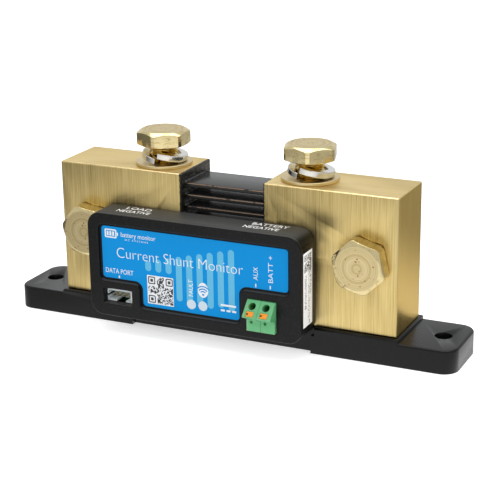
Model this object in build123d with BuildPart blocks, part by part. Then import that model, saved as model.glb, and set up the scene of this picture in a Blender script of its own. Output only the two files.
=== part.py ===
from build123d import *
import os
from math import cos, radians, sin, sqrt, tan

# A current shunt for a battery monitor: two brass terminal blocks joined by a stack of resistance
# strips, standing on a moulded base, with a small electronics housing on the front.
# Origin: centre of the two mounting holes, on the base's underside. +X runs along the base from the
# load block to the battery block, +Y to the rear, +Z up. Lengths in millimetres.

# ---- base ----
base_length = 168.0
base_depth = 26.5
base_corner = 5.5
ear_height = 8.2
pad_length = 129.0
pad_height = 9.5
base_edge = 0.8
mounting_hole_radius = 3.0
mounting_hole_inset = 8.0
front_recess_left = -35.7
front_recess_right = 33.4
front_recess_depth = 2.2
base_screw_inset = 8.5
base_screw_radius = 2.5
base_screw_clearance = 0.3
base_screw_head_radius = 4.5
base_screw_head_clearance = 0.4
base_screw_head_height = 3.0
base_screw_head_sink = 0.5
base_screw_socket_radius = 1.6
base_screw_socket_floor = 1.0
base_screw_depth = 10.0
base_screw_tip_gap = 0.5

# ---- terminal blocks and resistance strips ----
block_width = 48.0
block_depth = 23.0
block_height = 48.0
block_gap = 31.0
block_edge = 0.35
strip_count = 10
strip_thickness = 1.65
strip_pitch = 4.15
strip_width = 16.0
strip_slot_depth = 5.0
strip_top_inset = 3.65

# ---- terminal bolts and washers ----
bolt_radius = 5.0
thread_clearance = 0.06
head_across_flats = 17.0
top_head_height = 5.5
side_head_height = 6.3
head_corner_radius = 9.45
head_crown_radius = 7.65
head_crown_angle = 30.0
bolt_end_chamfer = 0.9
top_bolt_inset = 12.35
top_head_rise = 6.9
top_bolt_length = 22.0
top_hole_depth = 18.0
side_bolt_inset = 12.0
side_bolt_rise = 0.6
side_bolt_length = 10.4
flat_washer_radius = 10.0
flat_washer_hole = 5.25
flat_washer_thickness = 1.1
flat_washer_edge = 0.15
spring_washer_inner = 5.4
spring_washer_width = 2.65
spring_washer_thickness = 2.2
spring_washer_rise = 2.2
spring_washer_tilt = 10.0
spring_washer_high_side = -170.0
spring_washer_gap_angle = 5.0

# ---- electronics housing ----
housing_left = -46.25
housing_right = 34.5
housing_bottom = 6.6
housing_top = 44.2
housing_depth = 12.24
housing_corner = 5.0
housing_edge = 0.5
tray_wall = 1.8
tray_floor = 1.2
cover_thickness = 1.5
cover_plug = 1.5
cover_clearance = 0.12
pocket_clearance = 0.2
head_relief_clearance = 0.7
head_relief_wall = 1.2
label_recess_depth = 1.35
label_margin = 0.85
label_thickness = 0.15
label_left = -41.3
label_right = 29.4
label_bottom = 11.85
label_top = 39.35
label_left_notch = (-25.6, 20.45)
label_right_notch = (11.4, 24.25)
label_corner = 1.2
label_notch_corner = 3.0
sticker_thickness = 0.1
sticker_bottom = 12.15
sticker_top = 38.15
sticker_front_inset = 1.85
sticker_width = 7.4

# ---- circuit board and what it carries ----
board_thickness = 1.6
board_gap = 0.74
board_margin = 1.1
board_corner = 2.0
board_post_radius = 1.8
board_post_inset = 3.0
socket_x = -35.95
socket_z = 13.6
socket_width = 9.9
socket_height = 4.5
socket_length = 6.0
socket_wall = 0.6
socket_floor = 1.4
socket_gap_width = 3.6
socket_gap_offset = 0.6
socket_key_height = 0.8
socket_key_drop = 0.2
socket_window_left = -40.95
socket_window_right = -29.5
socket_window_bottom = 11.2
socket_window_top = 16.85
pin_pitch = 2.0
pin_count = 4
pin_size = 0.5
pin_hole_radius = 0.375
pin_drop = 0.7
pin_exposed = 3.2
pin_tail = 0.5
light_x = (-6.8, -2.4)
light_z = 15.05
light_pipe_radius = 1.5
light_pipe_gap = 0.2
led_size = (2.0, 1.25)
led_height = 0.8
sense_screw_x = (-31.0, 25.0)
sense_screw_z = 34.0
sense_screw_radius = 1.5
sense_screw_head_radius = 2.75
sense_screw_head_height = 1.9
sense_screw_depth = 6.0
sense_screw_tip_gap = 1.0
sense_screw_slot_length = 4.0
sense_screw_slot_width = 0.7
sense_screw_slot_depth = 1.0
sense_spacer_radius = 3.0
sense_clearance = 0.05

# ---- wire terminals ----
terminal_left = 15.1
terminal_pitch = 5.08
terminal_width = 10.3
terminal_bottom = 9.75
terminal_top = 20.6
terminal_front = 24.9
terminal_shelf = 13.8
terminal_nose = 28.3
terminal_nose_bottom = 15.6
terminal_lip = 0.3
terminal_face_rise = 4.7
terminal_clearance = 0.2
pole_offset = 2.4
wire_angle = 30.0
wire_hole_radius = 1.35
wire_hole_rise = 3.05
wire_hole_depth = 8.0
face_cut = 3.0
test_point_radius = 0.6
test_point_depth = 0.9
test_point_offset = 0.65
test_point_drop = 0.8
lever_width = 2.66
lever_height = 1.85
lever_length = 7.2
lever_rise = 0.95
lever_travel = 1.0
lever_clearance = 0.08
lever_room = 1.6
lever_notch_width = 0.75
lever_notch_height = 0.6
lever_notch_depth = 1.2
lever_proud = 0.05
chamber_offset = 0.1
chamber_width = 4.2
chamber_back = 16.4
chamber_front = 20.2
chamber_bottom = 11.2
chamber_top = 18.4
tail_rise = 1.6
tail_radius = 0.6
clamp_bar_thickness = 0.6
clamp_bar_margin = 0.3
clamp_spring_width = 3.2
clamp_spring_reach = 1.5
clamp_spring_thickness = 0.35

# ---- components on the board: centre, size and height ----
microcontroller_place = ((2.0, 30.0), (7.0, 7.0), 0.9)
radio_module_place = ((-15.0, 33.0), (12.0, 9.0), 2.0)
power_inductor_place = ((14.0, 31.0), (6.0, 6.0), 3.0)
sense_amplifier_place = ((-20.0, 22.0), (5.0, 4.4), 1.1)
capacitor_centre = (8.0, 17.0)
capacitor_radius = 2.5
capacitor_height = 5.0
capacitor_edge = 0.3

# ---- values worked out from the above ----
block_front = block_depth / 2
block_centre = block_gap / 2 + block_width / 2
block_top = pad_height + block_height
top_bolt_x = block_gap / 2 + top_bolt_inset
side_bolt_x = block_gap / 2 + block_width - side_bolt_inset
side_bolt_z = pad_height + block_height / 2 + side_bolt_rise
mounting_hole_x = base_length / 2 - mounting_hole_inset
base_screw_x = (
    block_gap / 2 + base_screw_inset,
    block_gap / 2 + block_width - base_screw_inset,
)
base_screw_seat = base_screw_head_height + base_screw_head_sink
top_strip_height = block_top - strip_top_inset - strip_thickness / 2
strip_heights = [top_strip_height - strip_pitch * n for n in range(strip_count)]
flat_washer_top = block_top + flat_washer_thickness
top_head_seat = block_top + top_head_rise
housing_width = housing_right - housing_left
housing_height = housing_top - housing_bottom
housing_centre = ((housing_left + housing_right) / 2, (housing_bottom + housing_top) / 2)
cover_front = block_front + housing_depth
tray_front = cover_front - cover_thickness
plug_back = tray_front - cover_plug
tray_inside = block_front + tray_floor
board_back = tray_inside + board_gap
board_front = board_back + board_thickness
label_floor = cover_front - label_recess_depth
terminal_right = terminal_left + terminal_width
pole_x = (terminal_left + pole_offset, terminal_left + pole_offset + terminal_pitch)
sticker_front = cover_front - sticker_front_inset
head_relief_radius = head_across_flats / sqrt(3) + head_relief_clearance
head_relief_depth = side_head_height + head_relief_clearance
wire_direction = Vector(0, cos(radians(wire_angle)), -sin(radians(wire_angle)))

os.makedirs("parts", exist_ok=True)


def save(piece, name):
    """Labels one finished piece and writes it as its own STEP file."""
    piece.label = name
    export_step(piece, "parts/" + name + ".step")


# ---- moulded base: two low ears with a mounting hole each, and a raised pad under the blocks ----
with BuildPart() as base_plate:
    with BuildSketch():
        RectangleRounded(base_length, base_depth, base_corner)
    extrude(amount=ear_height)
    fillet(base_plate.faces().sort_by(Axis.Z)[-1].edges(), base_edge)
    with BuildSketch():
        Rectangle(pad_length, base_depth)
    extrude(amount=pad_height)
    pad_face = base_plate.faces().sort_by(Axis.Z)[-1]
    fillet(pad_face.edges(), base_edge)
    # the lower front steps back under the housing
    with BuildSketch(Plane.XY):
        with Locations(((front_recess_left + front_recess_right) / 2, -base_depth / 2)):
            Rectangle(front_recess_right - front_recess_left, 2 * front_recess_depth)
    extrude(amount=pad_height, mode=Mode.SUBTRACT)
    # pocket that the housing's lower edge hangs in
    with BuildSketch(Plane.XY.offset(housing_bottom - pocket_clearance)):
        with Locations((housing_centre[0], -base_depth / 2)):
            Rectangle(housing_width + 2 * pocket_clearance, 2 * (base_depth / 2 - block_front))
    extrude(amount=pad_height, mode=Mode.SUBTRACT)
    with Locations((-mounting_hole_x, 0, ear_height), (mounting_hole_x, 0, ear_height)):
        Hole(mounting_hole_radius)
    screw_x = [side * x for side in (-1, 1) for x in base_screw_x]
    with Locations(*[Plane(origin=(x, 0, 0), z_dir=(0, 0, -1)) for x in screw_x]):
        CounterBoreHole(
            base_screw_radius + base_screw_clearance,
            base_screw_head_radius + base_screw_head_clearance,
            base_screw_seat,
        )
save(base_plate.part, "base_plate")


# ---- four screws that hold the blocks down, from under the base ----
def base_screws(side):
    """The two screws under one block: a pan head inside the base, and a shank up into the brass."""
    shank_length = pad_height - base_screw_seat + base_screw_depth - base_screw_tip_gap
    with BuildPart() as screws:
        for x in base_screw_x:
            with BuildSketch(Plane.XY.offset(base_screw_head_sink)):
                with Locations((side * x, 0)):
                    Circle(base_screw_head_radius)
                    RegularPolygon(base_screw_socket_radius, 6, mode=Mode.SUBTRACT)
            extrude(amount=base_screw_head_height - base_screw_socket_floor)
            with BuildSketch(Plane.XY.offset(base_screw_seat - base_screw_socket_floor)):
                with Locations((side * x, 0)):
                    Circle(base_screw_head_radius)
            extrude(amount=base_screw_socket_floor)
            with BuildSketch(Plane.XY.offset(base_screw_seat)):
                with Locations((side * x, 0)):
                    Circle(base_screw_radius - thread_clearance)
            extrude(amount=shank_length)
    return screws.part


save(base_screws(-1), "load_base_screws")
save(base_screws(1), "battery_base_screws")


# ---- places where a bolt's head or washer sits: each plane's normal points out of the brass ----
def top_seat(side, height):
    return Plane(origin=(side * top_bolt_x, 0, height))


def side_seat(side, facing):
    """Facing -1 is the front face, 1 the rear one."""
    return Plane(
        origin=(side * side_bolt_x, facing * block_front, side_bolt_z),
        x_dir=(1, 0, 0),
        z_dir=(0, facing, 0),
    )


# ---- brass terminal blocks, slotted on the inner face for the strips ----
def terminal_block(side, sense_x):
    slot_x = side * (block_gap / 2 + strip_slot_depth / 2)
    screw_seats = [Plane(origin=(side * x, 0, pad_height), z_dir=(0, 0, -1)) for x in base_screw_x]
    with BuildPart() as block:
        with BuildSketch(Plane.XY.offset(pad_height)):
            with Locations((side * block_centre, 0)):
                Rectangle(block_width, block_depth)
        extrude(amount=block_height)
        chamfer(block.edges(), block_edge)
        with Locations(*[(slot_x, 0, z) for z in strip_heights]):
            Box(strip_slot_depth, strip_width, strip_thickness, mode=Mode.SUBTRACT)
        with Locations(top_seat(side, block_top)):
            Hole(bolt_radius, top_hole_depth)
        with Locations(side_seat(side, -1)):
            Hole(bolt_radius)
        with Locations(*screw_seats):
            Hole(base_screw_radius, base_screw_depth)
        with Locations(Plane(origin=(sense_x, -block_front, sense_screw_z), z_dir=(0, -1, 0))):
            Hole(sense_screw_radius, sense_screw_depth + sense_screw_tip_gap)
    return block.part


save(terminal_block(-1, sense_screw_x[0]), "load_block")
save(terminal_block(1, sense_screw_x[1]), "battery_block")

# ---- resistance strips, soldered into both blocks ----
for number, height in enumerate(strip_heights, start=1):
    with BuildPart() as strip:
        with BuildSketch(Plane.XY.offset(height - strip_thickness / 2)):
            Rectangle(block_gap + 2 * strip_slot_depth, strip_width)
        extrude(amount=strip_thickness)
    save(strip.part, "resistance_strip_" + str(number).zfill(2))


# ---- hexagon head bolts ----
def hex_bolt(seat, head_height, length, turn):
    """A bolt whose head stands on the seat plane and whose shank goes in behind it."""
    crown_drop = (head_corner_radius - head_crown_radius) * tan(radians(head_crown_angle))
    shank = bolt_radius - thread_clearance
    profile = Plane(origin=seat.origin, x_dir=seat.x_dir, z_dir=-seat.y_dir)
    spin = Axis(seat.origin, seat.z_dir)
    with BuildPart() as bolt:
        with BuildSketch(seat):
            RegularPolygon(head_across_flats / 2, 6, major_radius=False, rotation=turn)
        extrude(amount=head_height)
        with BuildSketch(profile):
            with BuildLine():
                Polyline(
                    (0, 0),
                    (head_corner_radius, 0),
                    (head_corner_radius, head_height - crown_drop),
                    (head_crown_radius, head_height),
                    (0, head_height),
                    close=True,
                )
            make_face()
        revolve(axis=spin, mode=Mode.INTERSECT)
        with BuildSketch(profile):
            with BuildLine():
                Polyline(
                    (0, 0),
                    (0, -length),
                    (shank - bolt_end_chamfer, -length),
                    (shank, bolt_end_chamfer - length),
                    (shank, 0),
                    close=True,
                )
            make_face()
        revolve(axis=spin)
    return bolt.part


for side, name, turn in ((-1, "load", 34.4), (1, "battery", 46.6)):
    bolt = hex_bolt(top_seat(side, top_head_seat), top_head_height, top_bolt_length, turn)
    save(bolt, name + "_top_bolt")
for side, facing, name, turn in (
    (-1, -1, "load_front", -8.5),
    (1, -1, "battery_front", -16.6),
    (-1, 1, "load_rear", 21.0),
    (1, 1, "battery_rear", 6.0),
):
    bolt = hex_bolt(side_seat(side, facing), side_head_height, side_bolt_length, turn)
    save(bolt, name + "_bolt")


# ---- flat and split spring washers under the top bolts ----
def flat_washer(side):
    with BuildPart() as washer:
        with BuildSketch(top_seat(side, block_top)):
            Circle(flat_washer_radius)
            Circle(flat_washer_hole, mode=Mode.SUBTRACT)
        extrude(amount=flat_washer_thickness)
        chamfer(washer.edges().filter_by(GeomType.CIRCLE), flat_washer_edge)
    return washer.part


def spring_washer(side, gap_direction):
    """One left-handed turn of wire from the gap, tipped until its low edge rests on the washer."""
    middle = spring_washer_inner + spring_washer_width / 2
    turn = 360 - spring_washer_gap_angle
    with BuildPart() as washer:
        with BuildLine():
            coil = Helix(
                pitch=spring_washer_rise * 360 / turn,
                height=spring_washer_rise,
                radius=middle,
                center=(side * top_bolt_x, 0, flat_washer_top),
                lefthand=True,
            )
        with BuildSketch(Plane(origin=coil @ 0, x_dir=(1, 0, 0), z_dir=coil % 0)):
            Rectangle(spring_washer_width, spring_washer_thickness)
        sweep(is_frenet=True)
    centre = (side * top_bolt_x, 0, flat_washer_top)
    level = radians(spring_washer_high_side - 90)
    turned = washer.part.rotate(Axis(centre, (0, 0, 1)), gap_direction)
    tipped = turned.rotate(Axis(centre, (cos(level), sin(level), 0)), spring_washer_tilt)
    drop = tipped.bounding_box().min.Z - flat_washer_top
    return tipped.moved(Location((0, 0, -drop)))


save(flat_washer(-1), "load_flat_washer")
save(flat_washer(1), "battery_flat_washer")
save(spring_washer(-1, gap_direction=-88.5), "load_spring_washer")
save(spring_washer(1, gap_direction=-103.5), "battery_spring_washer")


# ---- electronics housing: a deep rear tray and a front cover that plugs into it ----
def housing_plane(forward):
    """A plane facing the front, the given distance in front of the frame's centre plane."""
    return Plane.XZ.offset(forward)


with BuildPart() as housing_tray:
    with BuildSketch(housing_plane(block_front)):
        with Locations(housing_centre):
            RectangleRounded(housing_width, housing_height, housing_corner)
    extrude(amount=tray_front - block_front)
    chamfer(housing_tray.faces().sort_by(Axis.Y)[-1].edges(), housing_edge)
    with BuildSketch(housing_plane(tray_inside)):
        with Locations(housing_centre):
            RectangleRounded(
                housing_width - 2 * tray_wall,
                housing_height - 2 * tray_wall,
                housing_corner - tray_wall,
            )
    extrude(amount=tray_front - tray_inside, mode=Mode.SUBTRACT)
    with BuildSketch(housing_plane(tray_inside)):
        with Locations(housing_centre):
            with GridLocations(
                housing_width - 2 * (tray_wall + board_post_inset),
                housing_height - 2 * (tray_wall + board_post_inset),
                2,
                2,
            ):
                Circle(board_post_radius)
    extrude(amount=board_gap)
    with BuildSketch(housing_plane(block_front)):
        with Locations(*[(x, sense_screw_z) for x in sense_screw_x]):
            Circle(sense_spacer_radius + sense_clearance)
    extrude(amount=tray_floor, mode=Mode.SUBTRACT)
    # round relief at the left end that clears the load block's front bolt head
    with BuildSketch(housing_plane(block_front)):
        with Locations((-side_bolt_x, side_bolt_z)):
            Circle(head_relief_radius + head_relief_wall)
        with Locations(housing_centre):
            RectangleRounded(housing_width, housing_height, housing_corner, mode=Mode.INTERSECT)
    extrude(amount=head_relief_depth + head_relief_wall)
    with BuildSketch(housing_plane(block_front)):
        with Locations((-side_bolt_x, side_bolt_z)):
            Circle(head_relief_radius)
    extrude(amount=head_relief_depth, mode=Mode.SUBTRACT)
save(housing_tray.part, "housing_tray")


def label_outline(grow):
    """The label's outline, a rectangle with both lower corners cut away, grown by a margin."""
    left = label_left - grow
    right = label_right + grow
    bottom = label_bottom - grow
    top = label_top + grow
    left_notch_x = label_left_notch[0] - grow
    left_notch_z = label_left_notch[1] - grow
    right_notch_x = label_right_notch[0] + grow
    right_notch_z = label_right_notch[1] - grow
    with BuildSketch() as outline:
        with BuildLine():
            Polyline(
                (left, top),
                (right, top),
                (right, right_notch_z),
                (right_notch_x, right_notch_z),
                (right_notch_x, bottom),
                (left_notch_x, bottom),
                (left_notch_x, left_notch_z),
                (left, left_notch_z),
                close=True,
            )
        make_face()
        rows = outline.vertices().group_by(Axis.Y)
        inner_left = rows[1].sort_by(Axis.X)[-1]
        inner_right = rows[2].sort_by(Axis.X)[0]
        outer = outline.vertices().filter_by(lambda v: v not in (inner_left, inner_right))
        fillet(outer, label_corner + grow)
        notches = outline.vertices().filter_by(
            lambda v: abs(v.X - left_notch_x) < 0.01
            and abs(v.Y - left_notch_z) < 0.01
            or abs(v.X - right_notch_x) < 0.01
            and abs(v.Y - right_notch_z) < 0.01
        )
        fillet(notches, label_notch_corner - grow)
    return outline.sketch


with BuildPart() as housing_cover:
    with BuildSketch(housing_plane(tray_front)):
        with Locations(housing_centre):
            RectangleRounded(housing_width, housing_height, housing_corner)
    extrude(amount=cover_thickness)
    chamfer(housing_cover.faces().sort_by(Axis.Y)[0].edges(), housing_edge)
    with BuildSketch(housing_plane(plug_back)):
        with Locations(housing_centre):
            RectangleRounded(
                housing_width - 2 * (tray_wall + cover_clearance),
                housing_height - 2 * (tray_wall + cover_clearance),
                housing_corner - tray_wall - cover_clearance,
            )
    extrude(amount=cover_plug)
    with BuildSketch(housing_plane(label_floor)):
        add(label_outline(label_margin))
    extrude(amount=label_recess_depth, mode=Mode.SUBTRACT)
    with BuildSketch(housing_plane(plug_back)):
        with Locations(
            (
                (socket_window_left + socket_window_right) / 2,
                (socket_window_bottom + socket_window_top) / 2,
            )
        ):
            Rectangle(socket_window_right - socket_window_left, socket_window_top - socket_window_bottom)
        with Locations(((terminal_left + terminal_right) / 2, (terminal_bottom + terminal_top) / 2)):
            Rectangle(
                terminal_width + 2 * terminal_clearance,
                terminal_top - terminal_bottom + 2 * terminal_clearance,
            )
        with Locations(*[(x, light_z) for x in light_x]):
            Circle(light_pipe_radius + sense_clearance)
    extrude(amount=cover_front - plug_back, mode=Mode.SUBTRACT)
save(housing_cover.part, "housing_cover")

# ---- printed label film in the cover's recess, and the sticker on the housing's end ----
with BuildPart() as label_film:
    with BuildSketch(housing_plane(label_floor)):
        add(label_outline(0))
    extrude(amount=label_thickness)
save(label_film.part, "label_film")

with BuildPart() as side_sticker:
    with BuildSketch(Plane.YZ.offset(housing_right)):
        with Locations((-sticker_front + sticker_width / 2, (sticker_bottom + sticker_top) / 2)):
            Rectangle(sticker_width, sticker_top - sticker_bottom)
    extrude(amount=sticker_thickness)
save(side_sticker.part, "side_sticker")

# ---- circuit board on its posts, drilled for the socket, the terminals and the sense screws ----
pin_columns = [socket_x + pin_pitch * (n - (pin_count - 1) / 2) for n in range(pin_count)]
pin_row = socket_z - pin_drop
tail_row = chamber_bottom + tail_rise
with BuildPart() as circuit_board:
    with BuildSketch(housing_plane(board_back)):
        with Locations(housing_centre):
            RectangleRounded(
                housing_width - 2 * (tray_wall + board_margin),
                housing_height - 2 * (tray_wall + board_margin),
                board_corner,
            )
        with Locations(*[(x, sense_screw_z) for x in sense_screw_x]):
            Circle(sense_screw_radius + sense_clearance, mode=Mode.SUBTRACT)
        with Locations(*[(x, pin_row) for x in pin_columns]):
            Circle(pin_hole_radius, mode=Mode.SUBTRACT)
        with Locations(*[(x, tail_row) for x in pole_x]):
            Circle(tail_radius + sense_clearance, mode=Mode.SUBTRACT)
        with Locations((-side_bolt_x, side_bolt_z)):
            Circle(head_relief_radius + head_relief_wall + pocket_clearance, mode=Mode.SUBTRACT)
    extrude(amount=board_thickness)
save(circuit_board.part, "circuit_board")

# ---- data socket: a four-pin shrouded header with one open side ----
with BuildPart() as data_socket:
    with BuildSketch(housing_plane(board_front)):
        with Locations((socket_x, socket_z)):
            Rectangle(socket_width, socket_height)
    extrude(amount=socket_length)
    with BuildSketch(housing_plane(board_front + socket_floor)):
        with Locations((socket_x, socket_z)):
            Rectangle(socket_width - 2 * socket_wall, socket_height - 2 * socket_wall)
        # gap in the lower wall
        with Locations((socket_x + socket_gap_offset, socket_z - socket_height / 2)):
            Rectangle(socket_gap_width, 2 * socket_wall)
        # key way in the left wall
        with Locations((socket_x - socket_width / 2, socket_z - socket_key_drop)):
            Rectangle(2 * socket_wall, socket_key_height)
    extrude(amount=socket_length - socket_floor, mode=Mode.SUBTRACT)
    with BuildSketch(housing_plane(board_front)):
        with Locations(*[(x, pin_row) for x in pin_columns]):
            Rectangle(pin_size, pin_size)
    extrude(amount=socket_floor, mode=Mode.SUBTRACT)
save(data_socket.part, "data_socket")

with BuildPart() as data_socket_pins:
    with BuildSketch(housing_plane(board_back - pin_tail)):
        with Locations(*[(x, pin_row) for x in pin_columns]):
            Rectangle(pin_size, pin_size)
    extrude(amount=pin_tail + board_thickness + socket_floor + pin_exposed)
save(data_socket_pins.part, "data_socket_pins")

# ---- two-pole wire terminal: a slanted nose with round wire entries and a release lever each ----
face_low_y = -terminal_nose - terminal_lip
face_low_z = terminal_nose_bottom + terminal_lip
chamber_middle = (chamber_bottom + chamber_top) / 2
lever_slot = (lever_width + 2 * lever_clearance, lever_height + 2 * lever_clearance)


def face_point(rise, x):
    """A point on the slanted face, a height above its lower edge."""
    return Vector(x, face_low_y + rise, face_low_z + rise)


def entry_plane(rise, x):
    """Faces out along the wire's way; the wire goes in against its normal."""
    return Plane(origin=face_point(rise, x), x_dir=(1, 0, 0), z_dir=-wire_direction)


with BuildPart() as terminal_body:
    with BuildSketch(Plane.YZ.offset(terminal_left)):
        with BuildLine():
            Polyline(
                (-board_front, terminal_bottom),
                (-terminal_front, terminal_bottom),
                (-terminal_front, terminal_shelf),
                (-terminal_nose, terminal_nose_bottom),
                (face_low_y, face_low_z),
                (face_low_y + terminal_face_rise, face_low_z + terminal_face_rise),
                (-board_front, face_low_z + terminal_face_rise),
                close=True,
            )
        make_face()
    extrude(amount=terminal_width)
    for x in pole_x:
        with BuildSketch(entry_plane(wire_hole_rise, x)):
            Circle(wire_hole_radius)
        extrude(amount=-wire_hole_depth, mode=Mode.SUBTRACT)
        with BuildSketch(entry_plane(wire_hole_rise, x)):
            Circle(wire_hole_radius)
        extrude(amount=face_cut, mode=Mode.SUBTRACT)
        with BuildSketch(entry_plane(lever_rise, x)):
            Rectangle(*lever_slot)
        extrude(amount=-lever_length - lever_travel - lever_room, mode=Mode.SUBTRACT)
        with BuildSketch(entry_plane(lever_rise, x)):
            Rectangle(*lever_slot)
        extrude(amount=face_cut, mode=Mode.SUBTRACT)
        # chamber for the clamp, and the hole its tail leaves by
        with BuildSketch(Plane.XZ.offset(chamber_back)):
            with Locations((x + chamber_offset, chamber_middle)):
                Rectangle(chamber_width, chamber_top - chamber_bottom)
        extrude(amount=chamber_front - chamber_back, mode=Mode.SUBTRACT)
        with BuildSketch(Plane.XZ.offset(board_front)):
            with Locations((x, tail_row)):
                Circle(tail_radius + sense_clearance)
        extrude(amount=chamber_back - board_front, mode=Mode.SUBTRACT)
        # test point in the lower front
        with BuildSketch(Plane.XZ.offset(terminal_front)):
            with Locations((x - test_point_offset, terminal_shelf - test_point_drop)):
                Circle(test_point_radius)
        extrude(amount=-test_point_depth, mode=Mode.SUBTRACT)
save(terminal_body.part, "terminal_body")


def release_lever(x):
    """An actuator whose slanted end lies in the terminal's face, with a screwdriver notch."""
    notch = entry_plane(lever_rise, x - lever_width / 2 + lever_notch_width / 2)
    with BuildPart() as lever:
        with BuildSketch(entry_plane(lever_rise, x)):
            Rectangle(lever_width, lever_height)
        extrude(amount=-lever_length)
        with BuildSketch(entry_plane(lever_rise, x)):
            Rectangle(lever_width, lever_height)
        extrude(amount=face_cut)
        # trim it flush with the slanted face
        cutter = Plane(origin=face_point(lever_rise, x), x_dir=(1, 0, 0), z_dir=(0, -1, 1))
        split(bisect_by=cutter.offset(-lever_proud), keep=Keep.BOTTOM)
        with BuildSketch(notch):
            Rectangle(lever_notch_width, lever_notch_height)
        extrude(amount=-lever_notch_depth, mode=Mode.SUBTRACT)
        with BuildSketch(notch):
            Rectangle(lever_notch_width, lever_notch_height)
        extrude(amount=face_cut, mode=Mode.SUBTRACT)
    return lever.part


def clamp_bar(x):
    """Tinned copper current bar with a round tail through the circuit board."""
    with BuildPart() as bar:
        with BuildSketch(Plane.XZ.offset(chamber_back)):
            with Locations((x + chamber_offset, chamber_middle)):
                Rectangle(
                    chamber_width - 2 * clamp_bar_margin,
                    chamber_top - chamber_bottom - 2 * clamp_bar_margin,
                )
        extrude(amount=clamp_bar_thickness)
        with BuildSketch(Plane.XZ.offset(board_back - pin_tail)):
            with Locations((x, tail_row)):
                Circle(tail_radius)
        extrude(amount=chamber_back - board_back + pin_tail)
    return bar.part


def clamp_spring(x):
    """Flat spring that presses the wire against the bar: a foot on the bar and a falling tongue."""
    foot = -chamber_back - clamp_bar_thickness
    foot_top = chamber_top - 0.5
    bend_top = foot_top - 0.4
    tip = chamber_bottom + 1.2
    with BuildPart() as spring:
        with BuildSketch(Plane.YZ.offset(x + chamber_offset - clamp_spring_width / 2)):
            with BuildLine():
                Polyline(
                    (foot, foot_top),
                    (foot - clamp_spring_reach, bend_top),
                    (foot - 0.5, tip),
                    (foot - 0.25, tip),
                    (foot - clamp_spring_reach + 0.4, bend_top - clamp_spring_thickness),
                    (foot, foot_top - clamp_spring_thickness),
                    close=True,
                )
            make_face()
        extrude(amount=clamp_spring_width)
    return spring.part


for x, pole in zip(pole_x, ("aux", "supply")):
    save(release_lever(x), pole + "_lever")
    save(clamp_bar(x), pole + "_clamp_bar")
    save(clamp_spring(x), pole + "_clamp_spring")

# ---- indicator lights: a chip on the board and a clear pipe up to the label ----
for x, light in zip(light_x, ("error", "radio")):
    with BuildPart() as led:
        with BuildSketch(housing_plane(board_front)):
            with Locations((x, light_z)):
                Rectangle(*led_size)
        extrude(amount=led_height)
    save(led.part, light + "_led")
    pipe_back = board_front + led_height + light_pipe_gap
    with BuildPart() as light_pipe:
        with BuildSketch(housing_plane(pipe_back)):
            with Locations((x, light_z)):
                Circle(light_pipe_radius)
        extrude(amount=label_floor - pipe_back)
    save(light_pipe.part, light + "_light_pipe")

# ---- sense screws: each ties one block to the board through a brass spacer ----
for x, name in zip(sense_screw_x, ("load", "battery")):
    with BuildPart() as spacer:
        with BuildSketch(housing_plane(block_front)):
            with Locations((x, sense_screw_z)):
                Circle(sense_spacer_radius)
                Circle(sense_screw_radius + sense_clearance, mode=Mode.SUBTRACT)
        extrude(amount=board_back - block_front)
    save(spacer.part, name + "_sense_spacer")
    with BuildPart() as screw:
        with BuildSketch(housing_plane(board_front)):
            with Locations((x, sense_screw_z)):
                Circle(sense_screw_head_radius)
        extrude(amount=sense_screw_head_height)
        slot_floor = board_front + sense_screw_head_height - sense_screw_slot_depth
        with BuildSketch(housing_plane(slot_floor)):
            with Locations((x, sense_screw_z)):
                Rectangle(sense_screw_slot_length, sense_screw_slot_width)
                Rectangle(sense_screw_slot_width, sense_screw_slot_length)
        extrude(amount=sense_screw_slot_depth, mode=Mode.SUBTRACT)
        with BuildSketch(housing_plane(block_front - sense_screw_depth)):
            with Locations((x, sense_screw_z)):
                Circle(sense_screw_radius - sense_clearance)
        extrude(amount=board_front - block_front + sense_screw_depth)
    save(screw.part, name + "_sense_screw")


# ---- larger components on the board ----
def chip(name, centre, size, height):
    with BuildPart() as component:
        with BuildSketch(housing_plane(board_front)):
            with Locations(centre):
                Rectangle(*size)
        extrude(amount=height)
    save(component.part, name)


chip("microcontroller", *microcontroller_place)
chip("radio_module", *radio_module_place)
chip("power_inductor", *power_inductor_place)
chip("sense_amplifier", *sense_amplifier_place)
with BuildPart() as smoothing_capacitor:
    with BuildSketch(housing_plane(board_front)):
        with Locations(capacitor_centre):
            Circle(capacitor_radius)
    extrude(amount=capacitor_height)
    fillet(smoothing_capacitor.faces().sort_by(Axis.Y)[0].edges(), capacitor_edge)
save(smoothing_capacitor.part, "smoothing_capacitor")
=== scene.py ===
from math import ceil, cos, pi, radians, sin, sqrt, tan

import bmesh
import bpy
from mathutils import Matrix, Vector


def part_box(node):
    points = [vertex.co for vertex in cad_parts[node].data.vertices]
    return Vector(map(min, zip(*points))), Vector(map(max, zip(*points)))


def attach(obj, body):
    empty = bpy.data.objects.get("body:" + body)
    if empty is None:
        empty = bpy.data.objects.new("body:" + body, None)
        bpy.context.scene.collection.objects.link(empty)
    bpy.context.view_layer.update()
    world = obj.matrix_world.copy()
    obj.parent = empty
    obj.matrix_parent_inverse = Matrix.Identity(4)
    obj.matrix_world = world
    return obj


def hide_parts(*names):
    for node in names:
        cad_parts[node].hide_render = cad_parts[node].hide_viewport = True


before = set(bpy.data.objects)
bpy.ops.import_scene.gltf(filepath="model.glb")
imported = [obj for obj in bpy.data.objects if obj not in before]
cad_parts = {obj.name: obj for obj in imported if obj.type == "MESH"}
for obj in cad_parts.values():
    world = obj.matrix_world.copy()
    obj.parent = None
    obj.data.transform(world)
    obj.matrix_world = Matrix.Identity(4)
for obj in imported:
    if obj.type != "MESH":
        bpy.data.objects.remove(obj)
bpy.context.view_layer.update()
scene = bpy.context.scene

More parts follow.
